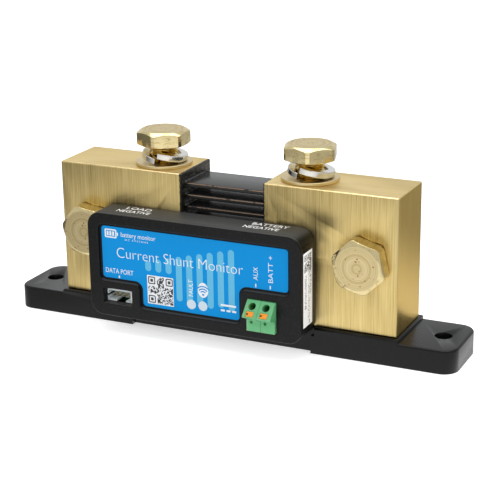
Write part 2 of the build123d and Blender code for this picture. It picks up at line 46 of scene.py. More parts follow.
# ---------------------------------------------------------------- moulded base
# One injection moulding in black glass-filled nylon: two low ears with a mounting hole each and a
# raised pad under the brass. Its skin is satin, with a faint grain and softly rounded edges.
mm = 0.001


class Value:
    """A node's output that can be used in sums: each operator adds the Math node that it needs."""

    def __init__(self, wiring, socket):
        self.wiring = wiring
        self.socket = socket

    def of(self, name):
        return Value(self.wiring, self.socket.node.outputs[name])

    def math(self, operation, *terms):
        return self.wiring.add("ShaderNodeMath", {"operation": operation}, dict(enumerate(terms)))

    def __add__(self, other):
        return self.math("ADD", self, other)

    def __sub__(self, other):
        return self.math("SUBTRACT", self, other)

    def __rsub__(self, other):
        return self.math("SUBTRACT", other, self)

    def __mul__(self, other):
        return self.math("MULTIPLY", self, other)

    def __mod__(self, other):
        return self.math("FLOORED_MODULO", self, other)

    def __abs__(self):
        return self.math("ABSOLUTE", self)

    __radd__ = __add__
    __rmul__ = __mul__


class Wiring:
    """Adds nodes to one tree: a node's settings are set first, then the values or links it takes."""

    def __init__(self, tree):
        self.tree = tree

    def add(self, kind, settings=None, inputs=None, output=0):
        node = self.tree.nodes.new(kind)
        for name, value in (settings or {}).items():
            if name == "stops":
                ramp = node.color_ramp.elements
                while len(ramp) < len(value):
                    ramp.new(1.0)
                for stop, (place, shade) in zip(ramp, value):
                    stop.position = place
                    stop.color = (*shade, 1.0) if len(shade) == 3 else (shade[0],) * 3 + (1.0,)
            else:
                setattr(node, name, value)
        for key, value in (inputs or {}).items():
            if isinstance(value, Value):
                self.tree.links.new(value.socket, node.inputs[key])
            else:
                node.inputs[key].default_value = value
        return Value(self, node.outputs[output])

    def vector(self, x=0.0, y=0.0, z=0.0):
        return self.add("ShaderNodeCombineXYZ", None, {0: x, 1: y, 2: z})


class Finish(Wiring):
    """One surface finish, a node material whose places are in millimetres."""

    def __init__(self, name, attribute=None):
        self.material = bpy.data.materials.new(name)
        self.material.use_nodes = True
        super().__init__(self.material.node_tree)
        self.tree.nodes.clear()
        if attribute:
            self.place = self.add("ShaderNodeAttribute", {"attribute_name": attribute}, None, "Vector")
        else:
            coordinates = self.add("ShaderNodeTexCoord", None, None, "Object")
            self.place = self.scaled(coordinates, 1000.0)
        parts = self.add("ShaderNodeSeparateXYZ", None, {0: self.place})
        self.x, self.y, self.z = parts.of("X"), parts.of("Y"), parts.of("Z")

    def scaled(self, vector, factor):
        return self.add("ShaderNodeVectorMath", {"operation": "SCALE"}, {0: vector, "Scale": factor})

    def noise(self, per_mm, detail=2.0, roughness=0.5, vector=None):
        """Smooth noise from 0 to 1, with per_mm features in each millimetre."""
        place = self.place if vector is None else vector
        return self.add(
            "ShaderNodeTexNoise",
            None,
            {"Vector": place, "Scale": per_mm, "Detail": detail, "Roughness": roughness},
        )

    def from_axis(self):
        """Distance from the Z axis."""
        flat = self.vector(self.x, self.y, 0.0)
        return self.add("ShaderNodeVectorMath", {"operation": "LENGTH"}, {0: flat}, "Value")

    def facing(self, axis):
        """How far the surface faces along an axis, from -1 to 1."""
        normal = self.add("ShaderNodeTexCoord", None, None, "Normal")
        return self.add("ShaderNodeSeparateXYZ", None, {0: normal}, axis)

    def spots(self, per_mm, vector=None):
        """Distance to the nearest of scattered points, in cells."""
        place = self.place if vector is None else vector
        return self.add("ShaderNodeTexVoronoi", None, {"Vector": place, "Scale": per_mm})

    def step(self, value, low, high):
        """0 below low, 1 above high and a smooth ramp between; high below low turns it round."""
        return self.add(
            "ShaderNodeMapRange",
            {"interpolation_type": "SMOOTHSTEP"},
            {0: value, 1: low, 2: high},
        )

    def mix(self, factor, first, second):
        first = first if isinstance(first, Value) else (*first, 1.0)
        second = second if isinstance(second, Value) else (*second, 1.0)
        return self.add(
            "ShaderNodeMix", {"data_type": "RGBA"}, {0: factor, 6: first, 7: second}, 2
        )

    def finish(self, color, roughness, height=None, relief=0.0, metallic=0.0, **constants):
        """Closes the material. height is from 0 to 1, and relief its depth in millimetres."""
        inputs = {"Base Color": color, "Roughness": roughness, "Metallic": metallic}
        if height is not None:
            inputs["Normal"] = self.add(
                "ShaderNodeBump", None, {"Height": height, "Distance": relief * mm}
            )
        for name, value in constants.items():
            inputs[name.replace("_", " ").title().replace("Ior", "IOR")] = value
        shader = self.add("ShaderNodeBsdfPrincipled", None, inputs)
        way_out = self.tree.nodes.new("ShaderNodeOutputMaterial")
        self.tree.links.new(shader.socket, way_out.inputs["Surface"])
        return self.material


def mottled(name, cloud, dark, light, rough, spread, wear, skin, relief, **constants):
    """A finish clouded between two shades, with noises for colour (cloud), gloss and height."""
    surface = Finish(name)
    return surface.finish(
        surface.mix(surface.noise(*cloud), dark, light),
        rough + surface.noise(*wear) * spread,
        height=surface.noise(*skin),
        relief=relief,
        **constants,
    )


def plain_mesh(holder):
    """The mesh that a holder's modifiers make, and the end of the holder."""
    depsgraph = bpy.context.evaluated_depsgraph_get()
    mesh = bpy.data.meshes.new_from_object(holder.evaluated_get(depsgraph), depsgraph=depsgraph)
    bpy.data.objects.remove(holder)
    return mesh


def linked(name, data):
    thing = bpy.data.objects.new(name, data)
    scene.collection.objects.link(thing)
    return thing


def softened(node, width, segments=2, dissolve=0.4):
    """A CAD node's mesh, merged, with each sharp edge rounded over by a width in millimetres."""
    work = bmesh.new()
    work.from_mesh(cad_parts[node].data)
    bmesh.ops.remove_doubles(work, verts=work.verts, dist=0.001 * mm)
    bmesh.ops.dissolve_limit(
        work, angle_limit=radians(dissolve), verts=work.verts, edges=work.edges
    )
    mesh = bpy.data.meshes.new(node + "_soft")
    work.to_mesh(mesh)
    work.free()
    mesh.shade_smooth()
    holder = linked(node + "_holder", mesh)
    bevel = holder.modifiers.new("edges", "BEVEL")
    bevel.width = width * mm
    bevel.segments = segments
    bevel.limit_method = "ANGLE"
    bevel.angle_limit = radians(28)
    bevel.harden_normals = True
    return plain_mesh(holder)


def seated(name, mesh, material, body, slot, *stands_for):
    """A finished piece with its material, riding on a body and standing for its CAD nodes."""
    mesh.materials.clear()
    mesh.materials.append(material)
    piece = linked(name, mesh)
    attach(piece, body)
    if stands_for:
        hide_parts(*stands_for)
    return piece


def refined(name, node, width, material, body, slot):
    """A CAD node's own shape with its edges softened, standing for that node."""
    return seated(name, softened(node, width), material, body, slot, node)


base = Finish("base_nylon")
grain = base.noise(2.6, 3.0)
fine = base.noise(9.0, 2.0)
flow = base.noise(0.05, 3.0)
dust = base.step(base.noise(0.6, 5.0, 0.7), 0.62, 0.8)
base_color = base.mix(flow, (0.0022, 0.0022, 0.0020), (0.0045, 0.0045, 0.0042))
base_color = base.mix(dust * 0.15, base_color, (0.05, 0.049, 0.046))
base_nylon = base.finish(
    base_color,
    0.17 + grain * 0.10 + dust * 0.12 + flow * 0.06,
    height=grain * 0.7 + fine * 0.3,
    relief=0.012,
    specular_ior_level=0.24,
)
refined("moulded_base", "base_plate", 0.3, base_nylon, "shunt", "base_plastic")

# ---------------------------------------------------------------- base screws
# Four zinc-plated socket screws go up through the base into the brass, two under each block. Their
# heads are sunk in counterbores, so they show only from below.
zinc_steel = mottled(
    "zinc_plate", (0.9, 3.0), (0.50, 0.52, 0.55), (0.66, 0.65, 0.60),
    0.28, 0.2, (0.9, 3.0), (4.0, 2.0), 0.006, metallic=1.0,
)
for side in ("load", "battery"):
    node = side + "_base_screws"
    refined(side + "_under_screws", node, 0.12, zinc_steel, "shunt", "steel_screw")

# ---------------------------------------------------------------- brass blocks
# Two solid brass blocks, sawn from bar and linished: the sides are brushed from top to bottom and
# the top along its length. Their inner faces and a ragged border round them are painted black.


def brushed_brass(name, inner, outward):
    """Linished brass, painted on the face at x = inner; outward is +1 where the block lies at +X."""
    brass = Finish(name)
    top = brass.step(abs(brass.facing("Z")), 0.6, 0.8)

    def strokes(per_mm, stretch, detail):
        """Noise drawn out along the brushing: down the sides, and along the top."""
        sides = brass.noise(per_mm, detail, 0.6, brass.vector(brass.x, brass.y, brass.z * stretch))
        tops = brass.noise(per_mm, detail, 0.6, brass.vector(brass.x * stretch, brass.y, brass.z))
        return sides + (tops - sides) * top

    hair = brass.step(strokes(5.2, 0.012, 3.0), 0.32, 0.68)
    lines = brass.step(strokes(2.1, 0.012, 2.0), 0.30, 0.70)
    bands = strokes(0.22, 0.08, 3.0)
    cloud = brass.noise(0.06, 3.0)
    scratch_area = brass.noise(0.25, 2.0)
    scratch = brass.step(
        brass.noise(1.3, 2.0, 0.5, brass.vector(brass.x + brass.z * 0.6, brass.y, brass.z * 0.08)),
        0.70,
        0.74,
    ) * brass.step(scratch_area, 0.55, 0.7)
    tone = hair * 0.36 + lines * 0.22 + bands * 0.36 + cloud * 0.26 - 0.12
    color = brass.add(
        "ShaderNodeValToRGB",
        {
            "stops": [
                (0.05, (0.46, 0.335, 0.115)),
                (0.35, (0.66, 0.50, 0.200)),
                (0.62, (0.80, 0.625, 0.275)),
                (0.95, (0.93, 0.765, 0.41)),
            ]
        },
        {0: tone},
    )
    # painted light and shade: faces that point up are painted lighter and the end faces deeper, for how
    # the studio light falls on them
    end = brass.step(abs(brass.facing("X")), 0.7, 0.9)
    color = brass.mix(top * 0.5, color, (0.95, 0.81, 0.53))
    color = brass.mix(end * 0.6, color, (0.62, 0.43, 0.135))
    color = brass.mix(scratch * 0.4, color, (0.93, 0.83, 0.60))
    rough = 0.24 + hair * 0.10 + lines * 0.07 + cloud * 0.05
    # black paint on the inner face, with a torn edge
    reach = (brass.x - inner) * outward
    torn = brass.noise(0.9, 4.0, 0.65) * 1.1 + brass.noise(3.5, 2.0) * 0.35
    paint = brass.step(reach - torn * 0.75, 0.02, -0.10)
    lumps = brass.noise(0.75, 3.0, 0.6)
    blisters = brass.spots(0.55)
    paint_color = brass.mix(brass.noise(0.5, 2.0), (0.002, 0.002, 0.002), (0.009, 0.009, 0.008))
    color = brass.mix(paint, color, paint_color)
    rough = rough + (0.13 + brass.noise(0.4, 2.0) * 0.16 - rough) * paint
    bare_height = hair * 0.55 + lines * 0.45 + scratch * 0.3
    paint_height = lumps * 40.0 - blisters * 16.0 + brass.noise(2.6, 3.0, 0.7) * 12.0
    height = bare_height + (paint_height - bare_height) * paint
    return brass.finish(
        color,
        rough,
        height=height,
        relief=0.012,
        metallic=1.0 - paint,
        specular_ior_level=0.6,
        specular_tint=(0.95, 0.84, 0.60, 1.0),
    )


load_inner_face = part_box("load_block")[1].x / mm
battery_inner_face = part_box("battery_block")[0].x / mm
for side, inner, outward in (("load", load_inner_face, -1.0), ("battery", battery_inner_face, 1.0)):
    node = side + "_block"
    skin = brushed_brass(node + "_brass", inner, outward)
    refined(side + "_brass", node, 0.16, skin, "shunt", "block_brass")

# ---------------------------------------------------------------- resistance strips
# Ten flat manganin strips bridge the gap, soldered into slots in both blocks and painted black. The
# paint is thin on their front edges, where a hairline of bare coppery metal shows.
strip_names = ["resistance_strip_%02d" % number for number in range(1, 11)]
first_low, first_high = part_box(strip_names[0])
strip_pitch = (first_low.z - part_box(strip_names[1])[0].z) / mm
strip_half = (first_high.z - first_low.z) / 2 / mm


def grown(name, build, sizes, material):
    """The plain mesh that a geometry node tree makes; sizes are the tree's named inputs."""
    tree = bpy.data.node_groups.new(name + "_tree", "GeometryNodeTree")
    for key, size in sizes.items():
        kind = "NodeSocketInt" if isinstance(size, int) else "NodeSocketFloat"
        tree.interface.new_socket(key, in_out="INPUT", socket_type=kind)
    tree.interface.new_socket("Shape", in_out="OUTPUT", socket_type="NodeSocketGeometry")
    wiring = Wiring(tree)
    entry = tree.nodes.new("NodeGroupInput")
    given = {key: Value(wiring, entry.outputs[key]) for key in sizes}
    shape = build(wiring, given)
    shape = wiring.add("GeometryNodeRealizeInstances", None, {0: shape})
    shape = wiring.add("GeometryNodeSetMaterial", None, {0: shape, "Material": material})
    leave = tree.nodes.new("NodeGroupOutput")
    tree.links.new(shape.socket, leave.inputs[0])
    holder = linked(name + "_holder", bpy.data.meshes.new(name + "_empty"))
    modifier = holder.modifiers.new("grown", "NODES")
    modifier.node_group = tree
    for item in tree.interface.items_tree:
        if item.in_out == "INPUT":
            modifier[item.identifier] = sizes[item.name]
    return plain_mesh(holder)


def in_a_row(wiring, shape, count, first, step, turn=(0.0, 0.0, 0.0)):
    """Copies of a shape, the first one at a place and each next one a step on."""
    row = {"Count": count, "Start Location": first, "Offset": step}
    row = wiring.add("GeometryNodeMeshLine", None, row)
    copies = {"Points": row, "Instance": shape, "Rotation": turn}
    return wiring.add("GeometryNodeInstanceOnPoints", None, copies)


def joined(wiring, *shapes):
    join = wiring.tree.nodes.new("GeometryNodeJoinGeometry")
    for shape in shapes:
        wiring.tree.links.new(shape.socket, join.inputs[0])
    return Value(wiring, join.outputs[0])


def moved(wiring, shape, place, turn=(0.0, 0.0, 0.0)):
    change = {"Geometry": shape, "Translation": place, "Rotation": turn}
    return wiring.add("GeometryNodeTransform", None, change)


def ladder_of_bars(wiring, given):
    """Bars with rounded edges, one below another."""
    half = given["length"] * 0.5
    ends = {"Start": wiring.vector(half * -1.0), "End": wiring.vector(half)}
    rail = wiring.add("GeometryNodeCurvePrimitiveLine", None, ends)
    outline = wiring.add(
        "GeometryNodeCurvePrimitiveQuadrilateral",
        None,
        {"Width": given["width"], "Height": given["thickness"]},
    )
    outline = wiring.add(
        "GeometryNodeFilletCurve",
        {"mode": "POLY"},
        {"Curve": outline, "Radius": given["edge"], "Count": 3, "Limit Radius": True},
    )
    bar = wiring.add(
        "GeometryNodeCurveToMesh", None, {"Curve": rail, "Profile Curve": outline, "Fill Caps": True}
    )
    first = wiring.vector(z=given["first height"])
    return in_a_row(wiring, bar, given["count"], first, wiring.vector(z=given["pitch"] * -1.0))


paint = Finish("strip_paint")
top_strip = (first_low.z + first_high.z) / 2 / mm
below = (top_strip + strip_pitch * 0.5 - paint.z) % strip_pitch - strip_pitch * 0.5
edge_height = abs(below * -1.0 - strip_half * 0.55)
front_edge = paint.step(paint.y, first_low.y / mm + 0.30, first_low.y / mm + 0.05)
worn = paint.noise(0.35, 3.0, 0.6, paint.vector(paint.x, paint.y * 0.2, paint.z * 2.0))
bare = front_edge * paint.step(edge_height, 0.15, 0.05) * paint.step(worn, 0.34, 0.50)
smear = paint.noise(0.5, 3.0, 0.6, paint.vector(paint.x * 0.15, paint.y, paint.z))
strip_color = paint.mix(smear, (0.006, 0.006, 0.006), (0.020, 0.019, 0.018))
strip_color = paint.mix(bare, strip_color, (0.52, 0.34, 0.22))
strip_paint = paint.finish(
    strip_color,
    0.14 + smear * 0.18 + bare * 0.2,
    height=smear * 0.7 + paint.noise(3.0, 2.0) * 0.3,
    relief=0.012,
    metallic=bare,
    specular_ior_level=0.42,
)
strip_sizes = {
    "length": first_high.x - first_low.x,
    "width": first_high.y - first_low.y,
    "thickness": first_high.z - first_low.z,
    "edge": 0.3 * mm,
    "first height": top_strip * mm,
    "pitch": strip_pitch * mm,
    "count": len(strip_names),
}
strips_mesh = grown("painted_strips", ladder_of_bars, strip_sizes, strip_paint)
strips_mesh.set_sharp_from_angle(angle=radians(40))
seated("painted_strips", strips_mesh, strip_paint, "shunt", "strip_paint", *strip_names)

# ---------------------------------------------------------------- solder fillets
# Solder has run out of each slot and set in lumps along the roots of the strips, under the same black
# paint as the blocks' inner faces.


def beads(wiring, given):
    """A lumpy bead across each strip's root, above and below it, and a blob at its front corner."""
    half = given["length"] * 0.5
    corner = wiring.vector(y=half * -1.0)
    ends = {"Start": corner, "End": wiring.vector(y=half)}
    rail = wiring.add("GeometryNodeCurvePrimitiveLine", None, ends)
    rail = wiring.add("GeometryNodeResampleCurve", None, {"Curve": rail, "Count": 40})
    ring = wiring.add(
        "GeometryNodeCurvePrimitiveCircle", None, {"Resolution": 14, "Radius": given["radius"]}
    )
    bead = wiring.add(
        "GeometryNodeCurveToMesh", None, {"Curve": rail, "Profile Curve": ring, "Fill Caps": True}
    )
    blob = wiring.add(
        "GeometryNodeMeshIcoSphere", None, {"Radius": given["blob"], "Subdivisions": 4}
    )
    blob = moved(wiring, blob, corner)
    under = moved(wiring, bead, wiring.vector(z=given["strip"] * -1.0))
    set_beads = in_a_row(
        wiring,
        joined(wiring, bead, under, blob),
        given["count"],
        wiring.vector(given["face"], z=given["first height"]),
        wiring.vector(z=given["pitch"] * -1.0),
    )
    set_beads = wiring.add("GeometryNodeRealizeInstances", None, {0: set_beads})
    lump = wiring.add("ShaderNodeTexNoise", None, {"Scale": 420.0, "Detail": 3.0}, "Fac")
    swell = wiring.add("GeometryNodeInputNormal")
    push = wiring.add(
        "ShaderNodeVectorMath",
        {"operation": "SCALE"},
        {0: swell, "Scale": (lump - 0.45) * given["lumps"]},
    )
    return wiring.add("GeometryNodeSetPosition", None, {"Geometry": set_beads, "Offset": push})


solder = Finish("painted_solder")
solder_tone = solder.noise(0.8, 3.0)
solder_paint = solder.finish(
    solder.mix(solder_tone, (0.004, 0.004, 0.004), (0.018, 0.017, 0.016)),
    0.12 + solder_tone * 0.2,
    height=solder.noise(2.2, 3.0),
    relief=0.10,
    specular_ior_level=0.65,
)
for side, face in (("load", load_inner_face + 0.05), ("battery", battery_inner_face - 0.05)):
    bead_sizes = {
        "length": first_high.y - first_low.y,
        "radius": 0.34 * mm,
        "blob": 0.62 * mm,
        "strip": first_high.z - first_low.z,
        "face": face * mm,
        "first height": first_high.z,
        "pitch": strip_pitch * mm,
        "count": len(strip_names),
        "lumps": 0.9 * mm,
    }
    bead_mesh = grown(side + "_solder", beads, bead_sizes, solder_paint)
    bead_mesh.shade_smooth()
    seated(side + "_solder", bead_mesh, solder_paint, "shunt", "strip_paint")

# ---------------------------------------------------------------- terminal bolts
# Six M10 hexagon bolts turned from brass bar, with a 30 degree crown and a rolled right-hand thread.
# Their flats keep scuffs and dull streaks, and their ends the turning marks.
across_flats = 17.0
corner_radius = 9.45
top_head_height = 5.5
side_head_height = 6.3
crown_radius = 7.65
thread_radius = 4.94
thread_pitch = 1.5
thread_depth = 0.9
top_bolt_length = 22.0
side_bolt_length = 10.4


def shell(name, points, faces, sharp=38.0, local=None):
    """A smooth mesh in metres from points in millimetres, with its sharp edges marked."""
    mesh = bpy.data.meshes.new(name)
    mesh.from_pydata([Vector(point) * mm for point in points], [], faces)
    if local is not None:
        own = mesh.attributes.new("local", "FLOAT_VECTOR", "POINT")
        own.data.foreach_set("vector", [value for point in local for value in point])
    work = bmesh.new()
    work.from_mesh(mesh)
    bmesh.ops.remove_doubles(work, verts=work.verts, dist=0.0005 * mm)
    bmesh.ops.dissolve_degenerate(work, edges=work.edges, dist=0.0005 * mm)
    bmesh.ops.recalc_face_normals(work, faces=work.faces)
    work.to_mesh(mesh)
    work.free()
    mesh.shade_smooth()
    mesh.set_sharp_from_angle(angle=radians(sharp))
    return mesh


def ring_faces(rings, count, closed=False):
    """Faces between rings of count points each; closed joins the last ring to the first."""
    return [
        (
            ring * count + n,
            (ring + 1) % rings * count + n,
            (ring + 1) % rings * count + (n + 1) % count,
            ring * count + (n + 1) % count,
        )
        for ring in range(rings if closed else rings - 1)
        for n in range(count)
    ]


def hex_bolt(name, seat, head_height, length, turn):
    """A bolt in its seat's own frame: the head above z = 0, the threaded shank below."""
    # the head: rings from the underside over the washer face, the flats and the crown to the centre
    apothem = across_flats / 2
    offsets = (-30, -28, -25.9, -25, -20, -15, -10, -5, 0, 5, 10, 15, 20, 25, 25.9, 28)
    angles = [radians(turn + 30 + sector * 60 + offset) for sector in range(6) for offset in offsets]
    reach = [
        min(apothem / cos(radians(offset)), corner_radius)
        for sector in range(6)
        for offset in offsets
    ]
    slope = tan(radians(30))
    rings = []
    for radius_of, height_of in (
        (lambda r: thread_radius - 0.2, lambda r: 0.0),
        (lambda r: apothem - 0.75, lambda r: 0.0),
        (lambda r: apothem - 0.62, lambda r: 0.0),
        (lambda r: r - 0.32 - (r - apothem) * 0.55, lambda r: 0.07 + (r - apothem) * 0.12),
        (lambda r: r - 0.06, lambda r: 0.22 + (r - apothem) * 0.30),
        (lambda r: r, lambda r: 0.40 + (r - apothem) * 0.38),
        (lambda r: r, lambda r: head_height - (r - crown_radius) * slope - 0.20),
        (lambda r: r - 0.03, lambda r: head_height - (r - crown_radius) * slope - 0.06),
        (lambda r: r - 0.12, lambda r: head_height - (r - crown_radius) * slope + 0.045),
        (lambda r: r - 0.22, lambda r: head_height - (r - 0.22 - crown_radius) * slope),
        (lambda r: crown_radius + 0.06, lambda r: head_height - 0.06 * slope),
        (lambda r: crown_radius - 0.07, lambda r: head_height - 0.004),
        (lambda r: crown_radius - 0.16, lambda r: head_height),
        (lambda r: 5.0, lambda r: head_height - 0.02),
        (lambda r: 0.6, lambda r: head_height - 0.03),
    ):
        rings.append(
            [
                (radius_of(r) * cos(a), radius_of(r) * sin(a), height_of(r))
                for a, r in zip(angles, reach)
            ]
        )
    points = [point for ring in rings for point in ring]
    count = len(angles)
    faces = ring_faces(len(rings), count)
    points.append((0.0, 0.0, head_height - 0.03))
    hub = len(points) - 1
    last = (len(rings) - 1) * count
    faces += [(last + m, last + (m + 1) % count, hub) for m in range(count)]
    # the thread, in columns that climb with the helix
    columns = 48
    profile = ((0.0, 0.0), (0.12, 0.0), (0.5, 1.0), (0.62, 1.0))
    turns = ceil(length / thread_pitch) + 2
    start = len(points)
    rows = turns * len(profile)
    root_radius = thread_radius - thread_depth
    for column in range(columns):
        for row in range(rows):
            share, drop = profile[row % len(profile)]
            height = -length - thread_pitch
            height += thread_pitch * (row // len(profile) + share + column / columns)
            height = min(height, 0.0)
            radius = thread_radius - thread_depth * drop
            run_in = root_radius + height + length
            radius = min(radius, max(run_in, root_radius))
            height = max(height, -length)
            angle = 2 * pi * column / columns
            points.append((radius * cos(angle), radius * sin(angle), height))
    for column in range(columns):
        after = (column + 1) % columns
        lift = len(profile) if after == 0 else 0
        for row in range(rows - 1):
            if row + 1 + lift < rows:
                faces.append(
                    (
                        start + column * rows + row,
                        start + after * rows + row + lift,
                        start + after * rows + row + 1 + lift,
                        start + column * rows + row + 1,
                    )
                )
    points.append((0.0, 0.0, -length))
    tip = len(points) - 1
    faces += [
        (start + column * rows, start + (column + 1) % columns * rows, tip)
        for column in range(columns)
    ]
    mesh = shell(name, points, faces, 17.0, points)
    mesh.transform(seat)
    return mesh


turned = Finish("turned_brass", "local")
radius = turned.from_axis()
end_mask = turned.step(radius, crown_radius + 0.1, crown_radius - 0.1) * turned.step(turned.z, 4.0, 5.0)
thread_mask = turned.step(turned.z, 0.0, -0.1)
eccentric = turned.noise(0.16, 2.0, 0.5) * 0.9
rings_fine = turned.noise(3.4, 2.0, 0.6, turned.vector(radius + eccentric, turned.z * 0.5, 0.0))
rings_wide = turned.noise(0.9, 2.0, 0.5, turned.vector(radius + eccentric * 0.5, 7.0, 0.0))
wobble = turned.noise(0.35, 3.0)
scuff = turned.noise(0.8, 4.0, 0.65, turned.vector(turned.x * 0.5, turned.y * 0.5, turned.z * 1.6))
pits = turned.step(turned.spots(0.62), 0.24, 0.10) * turned.step(turned.noise(0.5, 1.0), 0.42, 0.52)
grime = turned.step(scuff, 0.50, 0.72)
ring_mask = turned.step(rings_fine, 0.34, 0.66)
olive = turned.mix(turned.step(rings_wide, 0.3, 0.7), (0.50, 0.385, 0.165), (0.64, 0.515, 0.255))
olive = turned.mix(ring_mask * 0.6, olive, (0.84, 0.71, 0.43))
flats = turned.mix(grime, (0.82, 0.68, 0.36), (0.55, 0.42, 0.17))
bolt_color = turned.mix(end_mask, flats, olive)
bolt_color = turned.mix(thread_mask, bolt_color, (0.62, 0.43, 0.10))
bolt_color = turned.mix(pits * end_mask, bolt_color, (0.34, 0.16, 0.06))
bolt_rough = 0.15 + grime * 0.12 + end_mask * (0.15 + rings_fine * 0.10) + wobble * 0.06
bolt_height = (ring_mask * 0.9 + rings_wide * 0.5) * end_mask + scuff * (1.0 - end_mask) - pits * 3.0
bolt_brass = turned.finish(
    bolt_color, bolt_rough, height=bolt_height, relief=0.014, metallic=1.0
)


def seat_frame(across, upward, out, origin):
    """The place of a seat: its two directions across the face, the one out of it, its centre."""
    rows = [[across[i], upward[i], out[i], origin[i]] for i in range(3)]
    return Matrix(rows + [[0.0, 0.0, 0.0, 1.0]])


top_bolt_x = 27.85 * mm
side_bolt_x = 51.5 * mm
front_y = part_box("load_block")[0].y
side_bolt_z = 34.1 * mm
head_seat_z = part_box("load_top_bolt")[1].z - top_head_height * mm
for side, sign, turn in (("load", -1, 34.4), ("battery", 1, 46.6)):
    seat = seat_frame((1, 0, 0), (0, 1, 0), (0, 0, 1), (sign * top_bolt_x, 0, head_seat_z))
    bolt = hex_bolt(side + "_top_hex", seat, top_head_height, top_bolt_length, turn)
    node = side + "_top_bolt"
    seated(side + "_top_hex", bolt, bolt_brass, node, "bolt_brass", node)
for side, sign, end, facing, turn in (
    ("load", -1, "front", -1, -8.5),
    ("battery", 1, "front", -1, -16.6),
    ("load", -1, "rear", 1, 21.0),
    ("battery", 1, "rear", 1, 6.0),
):
    seat = seat_frame(
        (1, 0, 0), (0, 0, -facing), (0, facing, 0), (sign * side_bolt_x, -facing * front_y, side_bolt_z)
    )
    name = side + "_" + end
    bolt = hex_bolt(name + "_hex", seat, side_head_height, side_bolt_length, turn)
    seated(name + "_hex", bolt, bolt_brass, name + "_bolt", "bolt_brass", name + "_bolt")

# ---------------------------------------------------------------- washers
# Under each top bolt lie a punched brass flat washer, bright on its rounded rim, and a split spring
# washer: one left-hand turn of square wire, sprung open and nickel plated.
flat_washer_hole = 5.25
flat_washer_radius = 10.0
flat_washer_thickness = 1.1
spring_inner = 5.4
spring_width = 2.65
spring_thickness = 2.2
spring_rise = 2.2
spring_turn = 355.0
spring_tilt = 10.0
spring_high_side = -170.0


def lathe(profile, steps=96):
    """Points and faces of a closed profile of (radius, height) turned about the Z axis."""
    points = [
        (r * cos(2 * pi * step / steps), r * sin(2 * pi * step / steps), z)
        for step in range(steps)
        for r, z in profile
    ]
    return points, ring_faces(steps, len(profile), closed=True)


def rounded_section(left, right, low, high, edge, steps=4):
    """A rectangle with rounded corners, as (across, up) pairs, with the flats' ends held flat."""
    hold = 0.04
    section = []
    for (x, z), begin in zip(
        ((right, low), (right, high), (left, high), (left, low)), (-90, 0, 90, 180)
    ):
        cx = x - edge if x == right else x + edge
        cz = z + edge if z == low else z - edge
        turns = [radians(begin + 90 * step / steps) for step in range(steps + 1)]
        arc = [(cx + edge * cos(a), cz + edge * sin(a)) for a in turns]
        begins = (arc[0][0] + hold * sin(turns[0]), arc[0][1] - hold * cos(turns[0]))
        ends = (arc[-1][0] - hold * sin(turns[-1]), arc[-1][1] + hold * cos(turns[-1]))
        section += [begins] + arc + [ends]
    return section


washer = Finish("washer_brass", "local")
washer_rings = washer.noise(1.6, 2.0, 0.5, washer.vector(washer.from_axis(), 3.0, washer.z))
washer_cloud = washer.noise(0.3, 3.0)
washer_brass = washer.finish(
    washer.mix(washer_cloud, (0.66, 0.51, 0.24), (0.80, 0.66, 0.38)),
    0.20 + washer_rings * 0.12 + washer_cloud * 0.1,
    height=washer_rings * 0.6 + washer.noise(1.2, 3.0) * 0.6,
    relief=0.012,
    metallic=1.0,
)
nickel = Finish("bright_nickel", "local")
nickel_cloud = nickel.noise(0.5, 3.0)
nickel_plate = nickel.finish(
    nickel.mix(nickel_cloud, (0.70, 0.68, 0.63), (0.86, 0.84, 0.79)),
    0.08 + nickel_cloud * 0.12,
    height=nickel.noise(0.9, 3.0),
    relief=0.02,
    metallic=1.0,
)
for side, sign, gap in (("load", -1, -88.5), ("battery", 1, -103.5)):
    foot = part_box(side + "_flat_washer")[0].z
    section = rounded_section(
        flat_washer_hole, flat_washer_radius, 0.0, flat_washer_thickness, 0.28
    )
    points, faces = lathe(section)
    flat = shell(side + "_flat_ring", points, faces, 38.0, points)
    flat.transform(Matrix.Translation((sign * top_bolt_x, 0, foot)))
    body = side + "_washers"
    seated(side + "_flat_ring", flat, washer_brass, body, "washer_brass", side + "_flat_washer")
    section = rounded_section(
        spring_inner,
        spring_inner + spring_width,
        -spring_thickness / 2,
        spring_thickness / 2,
        0.35,
    )
    steps = 110
    points = []
    for step in range(steps + 1):
        share = step / steps
        angle = radians(gap - spring_turn * share)
        lift = spring_thickness / 2 + spring_rise * share
        points += [(r * cos(angle), r * sin(angle), z + lift) for r, z in section]
    count = len(section)
    faces = ring_faces(steps + 1, count)
    faces += [tuple(range(count)), tuple(range(steps * count, (steps + 1) * count))]
    spring = shell(side + "_spring_ring", points, faces, 38.0, points)
    level = radians(spring_high_side - 90)
    spring.transform(Matrix.Rotation(radians(spring_tilt), 4, (cos(level), sin(level), 0)))
    spring_low = min(vertex.co.z for vertex in spring.vertices)
    spring_foot = foot + flat_washer_thickness * mm - spring_low
    spring.transform(Matrix.Translation((sign * top_bolt_x, 0, spring_foot)))
    seated(side + "_spring_ring", spring, nickel_plate, body, "spring_steel", side + "_spring_washer")

# ---------------------------------------------------------------- electronics housing
# A deep tray and a front cover plugged into it, both moulded in charcoal ABS with a spark-eroded
# grain. The cover has rounded edges, a sunken field for the label and two windows.
cover_low, cover_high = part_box("housing_cover")
film_low, film_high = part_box("label_film")
cover_corner = 5.0
cover_front = -cover_low.y / mm
tray_front = -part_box("housing_tray")[0].y / mm
plug_back = -cover_high.y / mm
field_floor = -film_high.y / mm
field_margin = 0.85
field_lip = 0.62


def squared(x, z):
    """The nearest of right, left, up and down to a direction."""
    return Vector((x if abs(x) > abs(z) else 0, z if abs(z) > abs(x) else 0)).normalized()


